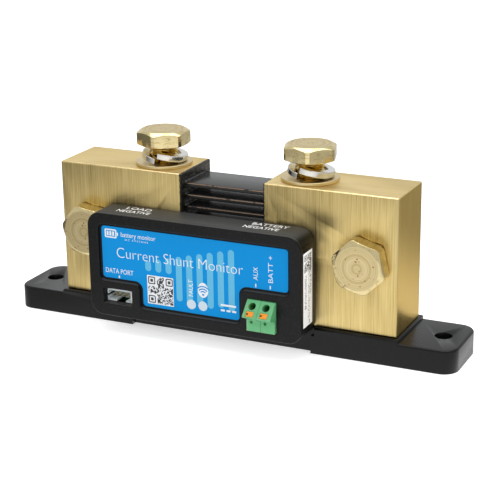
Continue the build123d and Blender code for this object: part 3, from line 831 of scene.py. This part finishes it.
def outline(corners, grow=0.0, steps=8):
    """A closed outline of corners, each (x, z, radius, outward x, outward z), grown all round."""
    loop = []
    total = len(corners)
    for number, (x, z, radius, out_x, out_z) in enumerate(corners):
        px, pz = corners[number - 1][:2]
        nx, nz = corners[(number + 1) % total][:2]
        x, z = x + out_x * grow, z + out_z * grow
        arriving = squared(x - px, z - pz)
        leaving = squared(nx - x, nz - z)
        convex = arriving.x * leaving.y - arriving.y * leaving.x > 0
        bend = max(radius + (grow if convex else -grow), 0.02)
        centre = Vector((x, z)) - arriving * bend + leaving * bend
        for step in range(steps + 1):
            angle = pi / 2 * step / steps
            loop.append(tuple(centre - leaving * bend * cos(angle) + arriving * bend * sin(angle)))
    return loop


def box_corners(left, right, low, high, radius):
    """Corners of an upright rectangle, counter-clockwise from the lower left."""
    return [
        (left, low, radius, -1, -1),
        (right, low, radius, 1, -1),
        (right, high, radius, 1, 1),
        (left, high, radius, -1, 1),
    ]


def field_corners():
    """The label's shape: a rectangle with both lower corners cut away."""
    left, right = film_low.x / mm, film_high.x / mm
    low, high = film_low.z / mm, film_high.z / mm
    return [
        (-25.6, low, 1.2, -1, -1),
        (11.4, low, 1.2, 1, -1),
        (11.4, 24.25, 3.0, 1, -1),
        (right, 24.25, 1.2, 1, -1),
        (right, high, 1.2, 1, 1),
        (left, high, 1.2, -1, 1),
        (left, 20.45, 1.2, -1, -1),
        (-25.6, 20.45, 3.0, -1, -1),
    ]


class Relief:
    """A solid seen from the front, made of outlines at stated distances forward of the centre plane."""

    def __init__(self):
        self.work = bmesh.new()

    def ring(self, loop, forward):
        """One closed ring of points, with its edges."""
        points = [self.work.verts.new((x * mm, -forward * mm, z * mm)) for x, z in loop]
        for one, two in zip(points, points[1:] + points[:1]):
            self.work.edges.new((one, two))
        return points

    def wall(self, corners, stations):
        """A wall through stations of (grow, forward). Returns its first and last rings."""
        rings = [self.ring(outline(corners, grow), forward) for grow, forward in stations]
        for one, two in zip(rings, rings[1:]):
            for n in range(len(one)):
                m = (n + 1) % len(one)
                self.work.faces.new((one[n], one[m], two[m], two[n]))
        return rings[0], rings[-1]

    def fill(self, *rings):
        """A flat face inside the first ring and outside the others."""
        edges = []
        for ring in rings:
            for one, two in zip(ring, ring[1:] + ring[:1]):
                edges.append(self.work.edges.get((one, two)))
        bmesh.ops.triangle_fill(self.work, use_beauty=True, use_dissolve=False, edges=edges)

    def mesh(self, name, sharp=38.0):
        bmesh.ops.recalc_face_normals(self.work, faces=self.work.faces)
        mesh = bpy.data.meshes.new(name)
        self.work.to_mesh(mesh)
        self.work.free()
        mesh.shade_smooth()
        mesh.set_sharp_from_angle(angle=radians(sharp))
        return mesh


def rounded(grow, forward, radius, inward, steps=5):
    """Stations round an edge from the face at forward back to the wall at grow, in or out."""
    stations = [(grow - inward * (radius + 0.05), forward)]
    for step in range(steps + 1):
        angle = pi / 2 * step / steps
        stations.append(
            (grow - inward * radius * (1 - sin(angle)), forward - radius * (1 - cos(angle)))
        )
    stations.append((grow, forward - radius - 0.05))
    return stations


housing = Finish("charcoal_abs")
spark = housing.noise(4.2, 2.0, 0.6)
spark_coarse = housing.noise(2.0, 3.0, 0.7)
skin = housing.noise(0.07, 3.0)
lint = housing.step(housing.noise(1.3, 5.0, 0.75), 0.74, 0.84)
# painted highlight: lighter speckles over the grain stand in for its sparkle
painted_glint = housing.step(spark_coarse, 0.58, 0.72)
housing_color = housing.mix(painted_glint, (0.0028, 0.0031, 0.0029), (0.022, 0.0225, 0.0215))
housing_color = housing.mix(lint * 0.35, housing_color, (0.10, 0.10, 0.095))
# painted light: faces that point up are painted lighter, for the light that falls on the housing's top
painted_top_light = housing.step(housing.facing("Z"), 0.6, 0.95)
housing_color = housing.mix(painted_top_light * 0.7, housing_color, (0.060, 0.060, 0.058))
charcoal_abs = housing.finish(
    housing_color,
    0.32 + spark * 0.14 + skin * 0.06,
    height=spark * 0.6 + spark_coarse * 0.4,
    relief=0.075,
    specular_ior_level=0.22,
)
cover = Relief()
outer = box_corners(
    cover_low.x / mm, cover_high.x / mm, cover_low.z / mm, cover_high.z / mm, cover_corner
)
seam_chamfer = 0.12
plug_wall = 1.92
front_ring = cover.wall(
    outer,
    rounded(0.0, cover_front, 0.5, 1.0)
    + [(0.0, tray_front + seam_chamfer), (-seam_chamfer, tray_front)],
)[0]
back_ring = cover.wall(
    outer, [(-seam_chamfer, tray_front), (-plug_wall, tray_front), (-plug_wall, plug_back)]
)[1]
foot_curve = [(0.0, 0.16), (-0.05, 0.05), (-0.16, 0.0)]
lip_ring, lip_foot = cover.wall(
    field_corners(),
    rounded(field_margin, cover_front, field_lip, -1.0)
    + [(field_margin + inset, field_floor + rise) for inset, rise in foot_curve],
)
socket_window = box_corners(-40.95, -29.5, 11.2, 16.85, 0.35)
terminal_window = box_corners(14.9, 25.6, 9.55, 20.8, 0.3)
window_rings = []
window_edge = rounded(0.0, cover_front, 0.2, -1.0, 3) + [(0.0, plug_back)]
for window in (socket_window, terminal_window):
    window_rings.append(cover.wall(window, window_edge))
cover.fill(front_ring, lip_ring, window_rings[0][0], window_rings[1][0])
cover.fill(lip_foot)
cover.fill(back_ring, window_rings[0][1], window_rings[1][1])
bmesh.ops.remove_doubles(cover.work, verts=cover.work.verts, dist=0.001 * mm)
cover_mesh = cover.mesh("front_cover")
seated("front_cover", cover_mesh, charcoal_abs, "shunt", "housing_plastic", "housing_cover")
refined("rear_tray", "housing_tray", 0.12, charcoal_abs, "shunt", "housing_plastic")

# ---------------------------------------------------------------- lettering on the housing's top
# Two lines of pad-printed white ink stand by each end, naming the block behind them.


def lettering(text, left, low, width, height, weight=0.0, spacing=1.0):
    """Flat letters as a mesh with a hair of thickness, from (left, low), in millimetres."""
    font = bpy.data.curves.new(text, "FONT")
    font.body = text
    font.size = 1.0
    font.offset = weight
    font.extrude = 0.004
    font.space_character = spacing
    font.resolution_u = 4
    holder = linked("lettering", font)
    mesh = plain_mesh(holder)
    capital_height = 0.729
    xs = [vertex.co.x for vertex in mesh.vertices]
    across = width / (max(xs) - min(xs))
    up = height / capital_height
    mesh.transform(Matrix.Diagonal((across, up, 1.0, 1.0)) @ Matrix.Translation((-min(xs), 0, 0)))
    mesh.transform(Matrix.Translation((left, low, 0)))
    return mesh


def stamped(name, meshes, seat):
    """Several flat meshes in millimetres laid together on one seat, as one mesh in metres."""
    work = bmesh.new()
    for mesh in meshes:
        work.from_mesh(mesh)
        bpy.data.meshes.remove(mesh)
    bmesh.ops.remove_doubles(work, verts=work.verts, dist=1e-5)
    together = bpy.data.meshes.new(name)
    work.to_mesh(together)
    work.free()
    together.transform(seat @ Matrix.Scale(mm, 4))
    return together


white_ink = mottled(
    "white_ink", (1.2, 3.0), (0.50, 0.52, 0.54), (0.60, 0.61, 0.62),
    0.38, 0.15, (1.2, 3.0), (6.0, 2.0), 0.004,
)
top_seat = seat_frame((1, 0, 0), (0, 1, 0), (0, 0, 1), (0, 0, cover_high.z))
top_letters = [
    lettering("LOAD", -35.0, -16.0, 9.6, 2.5, 0.006),
    lettering("NEGATIVE", -36.9, -19.6, 12.8, 2.5, 0.006),
    lettering("BATTERY", 13.1, -15.8, 13.2, 2.5, 0.006),
    lettering("NEGATIVE", 11.4, -19.4, 12.8, 2.5, 0.006),
]
bold_white_ink = mottled(
    "bold_white_ink", (1.2, 3.0), (0.80, 0.80, 0.79), (0.92, 0.92, 0.91),
    0.42, 0.15, (1.2, 3.0), (6.0, 2.0), 0.004,
)
top_print = stamped("top_lettering", top_letters, top_seat)
seated("top_lettering", top_print, bold_white_ink, "shunt", "label_print")

# ---------------------------------------------------------------- printed label
# A satin polycarbonate film fills the cover's sunken field: blue ground, paler ascending bars, white
# names for the socket and the terminals, two frosted dots over the lights and a square of cells.
film_front = -film_low.y / mm
film = Relief()
film_edge = rounded(0.0, film_front, 0.06, 1.0, 2) + [(0.0, field_floor)]
film_ring, film_foot = film.wall(field_corners(), film_edge)
film.fill(film_ring)
film.fill(film_foot)
label_blue = mottled(
    "label_blue", (0.03, 2.0), (0.0, 0.178, 0.455), (0.0, 0.198, 0.485),
    0.42, 0.10, (7.0, 2.0), (7.0, 2.0), 0.006, specular_ior_level=0.07,
)
seated("label", film.mesh("label"), label_blue, "shunt", "label_print", "label_film")


def flat_piece(loops, back=0.0, front=0.012):
    """A thin closed plate from an outer loop and its holes, in millimetres, standing on z = back."""
    work = bmesh.new()
    for height in (back, front):
        edges = []
        for loop in loops:
            points = [work.verts.new((x, y, height)) for x, y in loop]
            for one, two in zip(points, points[1:] + points[:1]):
                edges.append(work.edges.new((one, two)))
        bmesh.ops.triangle_fill(work, use_beauty=True, use_dissolve=False, edges=edges)
    work.verts.ensure_lookup_table()
    half = len(work.verts) // 2
    start = 0
    for loop in loops:
        size = len(loop)
        for n in range(size):
            one, two = start + n, start + (n + 1) % size
            work.faces.new([work.verts[k] for k in (one, two, two + half, one + half)])
        start += size
    bmesh.ops.recalc_face_normals(work, faces=work.faces)
    mesh = bpy.data.meshes.new("flat")
    work.to_mesh(mesh)
    work.free()
    return mesh


def bar(left, right, low, high, radius=None, steps=8):
    """A loop round an upright bar; with no radius its ends are half round."""
    reach = min(right - left, high - low) / 2 - 0.001 if radius is None else radius
    return outline(box_corners(left, right, low, high, reach), 0.0, steps)


def oval(x, z, width, height, steps=48):
    return [
        (x + width / 2 * cos(2 * pi * n / steps), z + height / 2 * sin(2 * pi * n / steps))
        for n in range(steps)
    ]


def arc_band(x, z, radius, width, begin, end, steps=14):
    """A loop round part of a ring, from begin to end in degrees."""
    angles = [radians(begin + (end - begin) * n / steps) for n in range(steps + 1)]
    outside = [(x + (radius + width / 2) * cos(a), z + (radius + width / 2) * sin(a)) for a in angles]
    inside = [(x + (radius - width / 2) * cos(a), z + (radius - width / 2) * sin(a)) for a in angles]
    return outside + inside[::-1]


def turned_up(mesh, x, z):
    """Lettering turned to read upwards, its baseline's start put at (x, z)."""
    mesh.transform(Matrix.Translation((x, z, 0)) @ Matrix.Rotation(pi / 2, 4, "Z"))
    return mesh


def printed(name, meshes, lift, material):
    """One layer of print on the label's face, lifted a little in millimetres."""
    face = seat_frame((1, 0, 0), (0, 0, 1), (0, -1, 0), (0, -(film_front + lift) * mm, 0))
    seated(name, stamped(name, meshes, face), material, "shunt", "label_print")


label_pale_blue = mottled(
    "label_pale_blue", (0.05, 2.0), (0.082, 0.315, 0.475), (0.100, 0.345, 0.515),
    0.42, 0.10, (7.0, 2.0), (7.0, 2.0), 0.006, specular_ior_level=0.07,
)
bars = []
for number in range(9):
    x = -23.2 + 3.97 * number
    low = 24.9 if number < 3 else 14.6 + 0.9 * (number % 2)
    high = 28.6 + 1.0 * number
    bars.append(flat_piece([bar(x - 1.15, x + 1.15, low, high)], 0.0, 0.008))
printed("label_bars", bars, 0.0, label_pale_blue)

white_print = [
    lettering("battery monitor", -33.6, 36.1, 13.6, 1.75, 0.0),
    lettering("D C   S Y S T E M S", -32.0, 34.85, 9.0, 0.62),
    lettering("Current Shunt Monitor", -35.5, 28.3, 48.4, 4.0, -0.016),
    lettering("DATA PORT", -40.2, 22.35, 11.0, 1.85, 0.0),
    turned_up(lettering("AUX", 0, 0, 4.6, 1.8, -0.004), 18.4, 27.2),
    turned_up(lettering("BATT +", 0, 0, 9.4, 1.8, -0.004), 23.9, 27.0),
    turned_up(lettering("FAULT", 0, 0, 6.0, 1.7, 0.004), -6.1, 18.0),
    flat_piece([bar(-35.1, -34.6, 20.75, 21.65, 0.05)]),
    flat_piece([bar(17.4, 17.8, 24.7, 25.9, 0.05)]),
    flat_piece([bar(22.7, 23.1, 24.7, 25.9, 0.05)]),
    flat_piece([bar(-40.0, -35.3, 35.2, 38.4, 0.5), bar(-39.5, -35.8, 35.7, 37.9, 0.25)]),
    flat_piece([bar(-35.2, -34.7, 36.2, 37.4, 0.15)]),
    flat_piece([bar(4.4, 10.2, 16.2, 16.9, 0.1)]),
]
white_print += [flat_piece([bar(x, x + 0.75, 36.0, 37.6, 0.1)]) for x in (-39.2, -38.1, -37.0)]
white_print += [flat_piece([bar(x, x + 1.5, 14.3, 15.0, 0.1)]) for x in (4.4, 6.55, 8.7)]
white_print.append(flat_piece([oval(-2.2, 20.8, 3.95, 5.4)]))
white_print.append(flat_piece([bar(-23.8, -13.6, 13.1, 23.5, 0.15)]))
printed("label_lettering", white_print, 0.006, white_ink)

waves = [flat_piece([oval(-2.2, 19.2, 0.75, 0.75)])]
waves += [flat_piece([arc_band(-2.2, 19.2, r, 0.42, 40, 140)]) for r in (1.15, 2.05, 2.95)]
printed("label_waves", waves, 0.02, label_blue)

frosted_window = mottled(
    "frosted_window", (2.0, 2.0), (0.38, 0.46, 0.50), (0.46, 0.52, 0.56),
    0.45, 0.1, (6.0, 2.0), (6.0, 2.0), 0.006,
)
windows = [flat_piece([oval(x, 15.05, 3.45, 3.45)]) for x in (-6.8, -2.4)]
printed("light_windows", windows, 0.006, frosted_window)


def scattered_cells(wiring, given):
    """Square cells over part of a grid, kept or left out at random."""
    reach = given["cell"] * (given["columns"] - 1)
    rise = given["cell"] * (given["rows"] - 1)
    grid = wiring.add(
        "GeometryNodeMeshGrid",
        None,
        {"Size X": reach, "Size Y": rise, "Vertices X": given["columns"], "Vertices Y": given["rows"]},
    )
    centre = wiring.vector(given["centre x"], given["centre y"], given["lift"])
    grid = moved(wiring, grid, centre)
    keep = wiring.add(
        "FunctionNodeRandomValue",
        {"data_type": "BOOLEAN"},
        {"Probability": given["share"], "Seed": given["seed"]},
        3,
    )
    size = wiring.vector(given["width"], given["height"], given["thickness"])
    cell = wiring.add("GeometryNodeMeshCube", None, {"Size": size})
    return wiring.add(
        "GeometryNodeInstanceOnPoints", None, {"Points": grid, "Selection": keep, "Instance": cell}
    )


black_ink = mottled(
    "black_ink", (3.0, 2.0), (0.010, 0.012, 0.016), (0.022, 0.024, 0.028),
    0.35, 0.12, (5.0, 2.0), (6.0, 2.0), 0.004,
)


def code_square(name, left, low, size, count, seed, marks):
    """A square of scattered cells with a framed mark in the stated corners; it holds no data."""
    cell = size / count
    sizes = {
        "cell": cell,
        "columns": count,
        "rows": count,
        "centre x": left + size / 2,
        "centre y": low + size / 2,
        "lift": 0.004,
        "width": cell * 1.02,
        "height": cell * 1.02,
        "thickness": 0.008,
        "share": 0.5,
        "seed": seed,
    }
    cells = grown(name, scattered_cells, sizes, black_ink)
    work = bmesh.new()
    work.from_mesh(cells)
    clear = cell * 7.2
    doomed = []
    for x, z in marks:
        corner_x, corner_z = left + x * (size - clear), low + z * (size - clear)
        doomed += [
            v
            for v in work.verts
            if corner_x - cell < v.co.x < corner_x + clear + cell
            and corner_z - cell < v.co.y < corner_z + clear + cell
        ]
    bmesh.ops.delete(work, geom=list(set(doomed)), context="VERTS")
    work.to_mesh(cells)
    work.free()
    pieces = [cells]
    for x, z in marks:
        a, b = left + x * (size - clear), low + z * (size - clear)
        frame_out = bar(a, a + clear, b, b + clear, cell * 1.2)
        frame_in = bar(a + cell, a + clear - cell, b + cell, b + clear - cell, cell * 0.6)
        pieces.append(flat_piece([frame_out, frame_in], 0.0, 0.008))
        inset = cell * 2.2
        middle = bar(a + inset, a + clear - inset, b + inset, b + clear - inset, cell * 0.6)
        pieces.append(flat_piece([middle], 0.0, 0.008))
    return pieces


code = code_square("label_code", -23.4, 13.5, 9.6, 25, 7, ((0, 0), (0, 1), (1, 1)))
printed("label_code", code, 0.02, black_ink)

# ---------------------------------------------------------------- side sticker
# A matt white paper sticker on the housing's end, with a small square of cells at its top and two
# columns of print too fine to read.
sticker_low, sticker_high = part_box("side_sticker")
fibre = (3.0, 4.0, 0.65)
sticker_paper = mottled(
    "sticker_paper", fibre, (0.86, 0.87, 0.88), (0.95, 0.95, 0.95), 0.55, 0.15, fibre, fibre, 0.010
)
refined("end_sticker", "side_sticker", 0.03, sticker_paper, "shunt", "sticker_paper")
sticker_face = seat_frame((0, 1, 0), (0, 0, 1), (1, 0, 0), (sticker_high.x + 0.002 * mm, 0, 0))
sticker_front = sticker_low.y / mm
sticker_top = sticker_high.z / mm
sticker_print = code_square(
    "sticker_code", sticker_front + 0.7, sticker_top - 6.9, 6.0, 22, 11, ((0, 1),)
)
for column, (across, columns, rows, middle_height, share, seed) in enumerate(
    (
        (1.9, 5, 34, 13.9, 0.62, 3),
        (4.7, 4, 60, 14.6, 0.46, 4),
        (6.1, 3, 40, 8.2, 0.66, 5),
    )
):
    sizes = {
        "cell": 0.36,
        "columns": columns,
        "rows": rows,
        "centre x": sticker_front + across,
        "centre y": sticker_top - middle_height,
        "lift": 0.004,
        "width": 0.33,
        "height": 0.2,
        "thickness": 0.008,
        "share": share,
        "seed": seed,
    }
    sticker_print.append(grown("sticker_column_" + str(column), scattered_cells, sizes, black_ink))
sticker_marks = stamped("sticker_print", sticker_print, sticker_face)
seated("sticker_print", sticker_marks, black_ink, "shunt", "sticker_paper")

# ---------------------------------------------------------------- data socket
# A four-pin shrouded header in pale nylon stands on the board behind the cover's left window. Its
# pins are square brass wire with a gold flash, coined to a point.
pale_nylon = mottled(
    "pale_nylon", (0.4, 3.0), (0.50, 0.53, 0.52), (0.68, 0.70, 0.69),
    0.32, 0.12, (0.4, 3.0), (2.5, 2.0), 0.008, subsurface_weight=0.15,
)
refined("header_shroud", "data_socket", 0.08, pale_nylon, "shunt", "socket_plastic")
pin_low, pin_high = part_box("data_socket_pins")


def header_pins(wiring, given):
    """A row of square pins along X, each with a tapered point at its front end."""
    half = given["size"] * 0.5
    shaft_length = given["length"] - given["point"]
    shaft_size = wiring.vector(given["size"], given["size"], shaft_length)
    shaft = wiring.add("GeometryNodeMeshCube", None, {"Size": shaft_size})
    shaft = moved(wiring, shaft, wiring.vector(z=shaft_length * 0.5))
    taper = wiring.add(
        "GeometryNodeMeshCone",
        None,
        {
            "Vertices": 4,
            "Radius Top": half * 0.6,
            "Radius Bottom": half * sqrt(2),
            "Depth": given["point"],
        },
    )
    taper = moved(wiring, taper, wiring.vector(z=shaft_length), (0.0, 0.0, pi / 4))
    return in_a_row(
        wiring,
        joined(wiring, shaft, taper),
        given["count"],
        wiring.vector(given["first x"], given["back y"], given["row z"]),
        wiring.vector(given["pitch"]),
        (pi / 2, 0.0, 0.0),
    )


gold_flash = mottled(
    "gold_flash", (1.0, 3.0), (0.52, 0.38, 0.13), (0.70, 0.54, 0.24),
    0.18, 0.12, (3.0, 2.0), (4.0, 2.0), 0.004, metallic=1.0,
)
pin_size = pin_high.z - pin_low.z
pin_sizes = {
    "size": pin_size,
    "length": pin_high.y - pin_low.y,
    "point": 0.7 * mm,
    "first x": pin_low.x + pin_size / 2,
    "back y": pin_high.y,
    "row z": (pin_low.z + pin_high.z) / 2,
    "pitch": 2.0 * mm,
    "count": 4,
}
pins_mesh = grown("header_pins", header_pins, pin_sizes, gold_flash)
seated("header_pins", pins_mesh, gold_flash, "shunt", "contact_gold", "data_socket_pins")

# ---------------------------------------------------------------- wire terminal
# A two-pole spring terminal moulded in mint green polyamide, with a slanted nose, round wire entries,
# a test point below each and an orange lever that opens the clamp.
green = Finish("mint_polyamide")
green_cloud = green.noise(0.25, 3.0)
green_fine = green.noise(5.0, 2.0)
terminal_low, terminal_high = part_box("terminal_body")
middle = (terminal_low.x + terminal_high.x) / 2 / mm
parting = green.step(abs(green.x - middle), 0.11, 0.05)
mint = green.mix(green_cloud, (0.075, 0.310, 0.120), (0.100, 0.355, 0.150))
mint_polyamide = green.finish(
    green.mix(parting * 0.75, mint, (0.02, 0.10, 0.03)),
    0.30 + green_fine * 0.12,
    height=green_fine * 0.2 - parting * 4.0,
    relief=0.02,
    subsurface_weight=0.1,
)
refined("terminal_moulding", "terminal_body", 0.14, mint_polyamide, "shunt", "terminal_plastic")
orange = Finish("orange_lever")
orange_cloud = orange.noise(0.7, 3.0)
# painted shade: the sunk grooves between the ribs are also painted darker
ribs_and_groove_shade = orange.step(abs((orange.z % 0.62) - 0.31), 0.10, 0.02)
bright_orange = orange.mix(orange_cloud, (0.72, 0.215, 0.004), (0.80, 0.29, 0.012))
orange_plastic = orange.finish(
    orange.mix(ribs_and_groove_shade * 0.5, bright_orange, (0.40, 0.085, 0.002)),
    0.34 + orange_cloud * 0.12,
    height=ribs_and_groove_shade * -1.0 + orange.noise(4.0, 2.0) * 0.1,
    relief=0.05,
)
tinned_copper = mottled(
    "tinned_copper", (0.8, 3.0), (0.62, 0.60, 0.56), (0.78, 0.77, 0.74),
    0.22, 0.2, (2.0, 2.0), (2.0, 3.0), 0.01, metallic=1.0,
)
for pole in ("aux", "supply"):
    lever = pole + "_lever"
    refined(pole + "_actuator", lever, 0.07, orange_plastic, lever, "lever_plastic")
    for node in (pole + "_clamp_bar", pole + "_clamp_spring"):
        refined(node + "_metal", node, 0.05, tinned_copper, "shunt", "clamp_metal")

# ---------------------------------------------------------------- circuit board and its parts
# The board and what it carries are closed in the housing: green laminate, moulded chips, a shielded
# radio, two lights with clear pipes, and the screws that tie it to the brass.
laminate = Finish("board_laminate")
tracks = laminate.step(abs(laminate.noise(0.22, 0.0) * 12.0 % 1.0 - 0.5), 0.30, 0.36)
vias = laminate.step(laminate.spots(0.32), 0.30, 0.24)
weave_x = laminate.add("ShaderNodeMath", {"operation": "SINE"}, {0: laminate.x * 9.0})
weave_z = laminate.add("ShaderNodeMath", {"operation": "SINE"}, {0: laminate.z * 9.0})
board_color = laminate.mix(tracks, (0.008, 0.065, 0.022), (0.014, 0.12, 0.042))
board_color = laminate.mix(vias * 0.8, board_color, (0.55, 0.52, 0.42))
board_laminate = laminate.finish(
    board_color,
    0.30 + weave_x * weave_z * 0.05,
    height=tracks * 0.8 + weave_x * weave_z * 0.1,
    relief=0.03,
)
moulded_epoxy = mottled(
    "moulded_epoxy", (2.0, 3.0), (0.012, 0.012, 0.012), (0.028, 0.027, 0.026),
    0.48, 0.15, (5.0, 2.0), (6.0, 2.0), 0.015,
)
pressed_can = mottled(
    "pressed_can", (0.5, 3.0), (0.58, 0.58, 0.57), (0.72, 0.72, 0.71),
    0.30, 0.15, (1.2, 3.0), (1.0, 3.0), 0.02, metallic=1.0,
)
clear_pipe = mottled(
    "clear_pipe", (0.6, 2.0), (0.78, 0.82, 0.84), (0.88, 0.90, 0.91),
    0.12, 0.08, (2.0, 2.0), (1.0, 2.0), 0.01, transmission_weight=0.6,
)
light_resin = mottled(
    "light_resin", (1.5, 2.0), (0.72, 0.70, 0.60), (0.84, 0.82, 0.74),
    0.2, 0.1, (3.0, 2.0), (3.0, 2.0), 0.01,
)
sense_brass = mottled(
    "sense_brass", (0.8, 3.0), (0.56, 0.42, 0.18), (0.72, 0.57, 0.29),
    0.24, 0.16, (2.0, 2.0), (3.0, 2.0), 0.01, metallic=1.0,
)
for node, width, material, slot in (
    ("circuit_board", 0.1, board_laminate, "board_laminate"),
    ("microcontroller", 0.1, moulded_epoxy, "chip_epoxy"),
    ("sense_amplifier", 0.1, moulded_epoxy, "chip_epoxy"),
    ("power_inductor", 0.4, moulded_epoxy, "chip_epoxy"),
    ("radio_module", 0.25, pressed_can, "shield_can"),
    ("smoothing_capacitor", 0.3, pressed_can, "shield_can"),
    ("error_led", 0.1, light_resin, "led_resin"),
    ("radio_led", 0.1, light_resin, "led_resin"),
    ("error_light_pipe", 0.1, clear_pipe, "light_pipe_clear"),
    ("radio_light_pipe", 0.1, clear_pipe, "light_pipe_clear"),
    ("load_sense_spacer", 0.12, sense_brass, "sense_brass"),
    ("battery_sense_spacer", 0.12, sense_brass, "sense_brass"),
    ("load_sense_screw", 0.12, sense_brass, "sense_brass"),
    ("battery_sense_screw", 0.12, sense_brass, "sense_brass"),
):
    refined(node + "_part", node, width, material, "shunt", slot)

# ---------------------------------------------------------------- studio
# A seamless white table under an overhead softbox, with a key from the front, a weaker fill from the
# right and a rim light behind. What the metal mirrors is a separate sheet, bright in front and near
# the object, and dim to the sides.


def sheet(name, height, material):
    mesh = bpy.data.meshes.new(name)
    corners = ((-6, -6), (6, -6), (6, 6), (-6, 6))
    mesh.from_pydata([(x, y, height) for x, y in corners], [], [(0, 1, 2, 3)])
    mesh.materials.append(material)
    board = linked(name, mesh)
    return board


white_table = Finish("white_table").finish(
    (0.78, 0.78, 0.78, 1.0), 0.8, emission_color=(1.0, 1.0, 1.0, 1.0), emission_strength=0.5
)
table = sheet("table", -0.1 * mm, white_table)
table.visible_glossy = False

glow = Finish("mirrored_table")
bearing = glow.y.math("ARCTAN2", glow.y, glow.x) * (0.5 / pi) + 0.5
reach = glow.from_axis()
around = glow.add(
    "ShaderNodeValToRGB",
    {
        "stops": [
            (0.0, (0.09,)),
            (0.09, (0.25,)),
            (0.16, (0.60,)),
            (0.24, (0.92,)),
            (0.31, (1.0,)),
            (0.37, (0.85,)),
            (0.42, (0.50,)),
            (0.52, (0.34,)),
            (0.66, (0.34,)),
            (0.76, (0.60,)),
            (0.88, (0.40,)),
            (1.0, (0.09,)),
        ]
    },
    {0: bearing},
)
level = glow.mix(glow.step(reach, 80, 190), (1.0, 1.0, 1.0), around)
hollow = glow.step(reach, 60, 85) * glow.step(reach, 160, 115) * glow.step(bearing, 0.232, 0.198)
level = glow.mix(hollow * 0.35, level, (0.0, 0.0, 0.0))
light = glow.add(
    "ShaderNodeEmission",
    None,
    {"Color": level, "Strength": 1.1},
)
way_out = glow.tree.nodes.new("ShaderNodeOutputMaterial")
glow.tree.links.new(light.socket, way_out.inputs["Surface"])
mirrored = sheet("mirrored_table", -0.05 * mm, glow.material)
mirrored.visible_camera = False
mirrored.visible_diffuse = False
mirrored.visible_shadow = False
mirrored.visible_transmission = False


def softbox(name, place, aim, size, power, tint=(1.0, 1.0, 1.0)):
    lamp = bpy.data.lights.new(name, "AREA")
    lamp.shape = "RECTANGLE"
    lamp.size, lamp.size_y = size
    lamp.energy = power
    lamp.color = tint
    box = linked(name, lamp)
    box.location = place
    box.rotation_euler = (Vector(aim) - Vector(place)).to_track_quat("-Z", "Y").to_euler()
    return box


softbox("overhead", (0.0, 0.10, 0.95), (0, 0, 0), (1.2, 0.9), 7.0)
key = softbox("key", (-0.25, -0.95, 0.60), (0, 0, 0.03), (0.7, 0.5), 5.0)
key.visible_glossy = False
fill = softbox("fill", (0.9, -0.3, 0.35), (0, 0, 0.03), (0.5, 0.5), 2.0)
fill.visible_glossy = False
rim = softbox("rim", (-0.5, 1.1, 0.42), (0, 0, 0.03), (1.6, 0.6), 0.45)
rim.visible_diffuse = False
world = bpy.data.worlds.new("studio")
scene.world = world
world.use_nodes = True
world.node_tree.nodes["Background"].inputs["Color"].default_value = (0.96, 0.98, 1.0, 1.0)
world.node_tree.nodes["Background"].inputs["Strength"].default_value = 0.66
scene.view_settings.view_transform = "Standard"

camera_place = Vector((0.209, -0.4319, 0.18705))
camera_target = Vector((0.00335, 0.0035, 0.02802))
camera_roll = radians(-0.78)
ahead = (camera_target - camera_place).normalized()
right = ahead.cross(Vector((0, 0, 1))).normalized()
above = right.cross(ahead)
rolled_right = right * cos(camera_roll) + above * sin(camera_roll)
rolled_up = above * cos(camera_roll) - right * sin(camera_roll)
lens_data = bpy.data.cameras.new("camera")
lens_data.lens = 103.7
lens_data.sensor_width = 36.0
lens_data.clip_start = 0.01
camera = linked("camera", lens_data)
camera.matrix_world = seat_frame(rolled_right, rolled_up, -ahead, camera_place)
scene.camera = camera
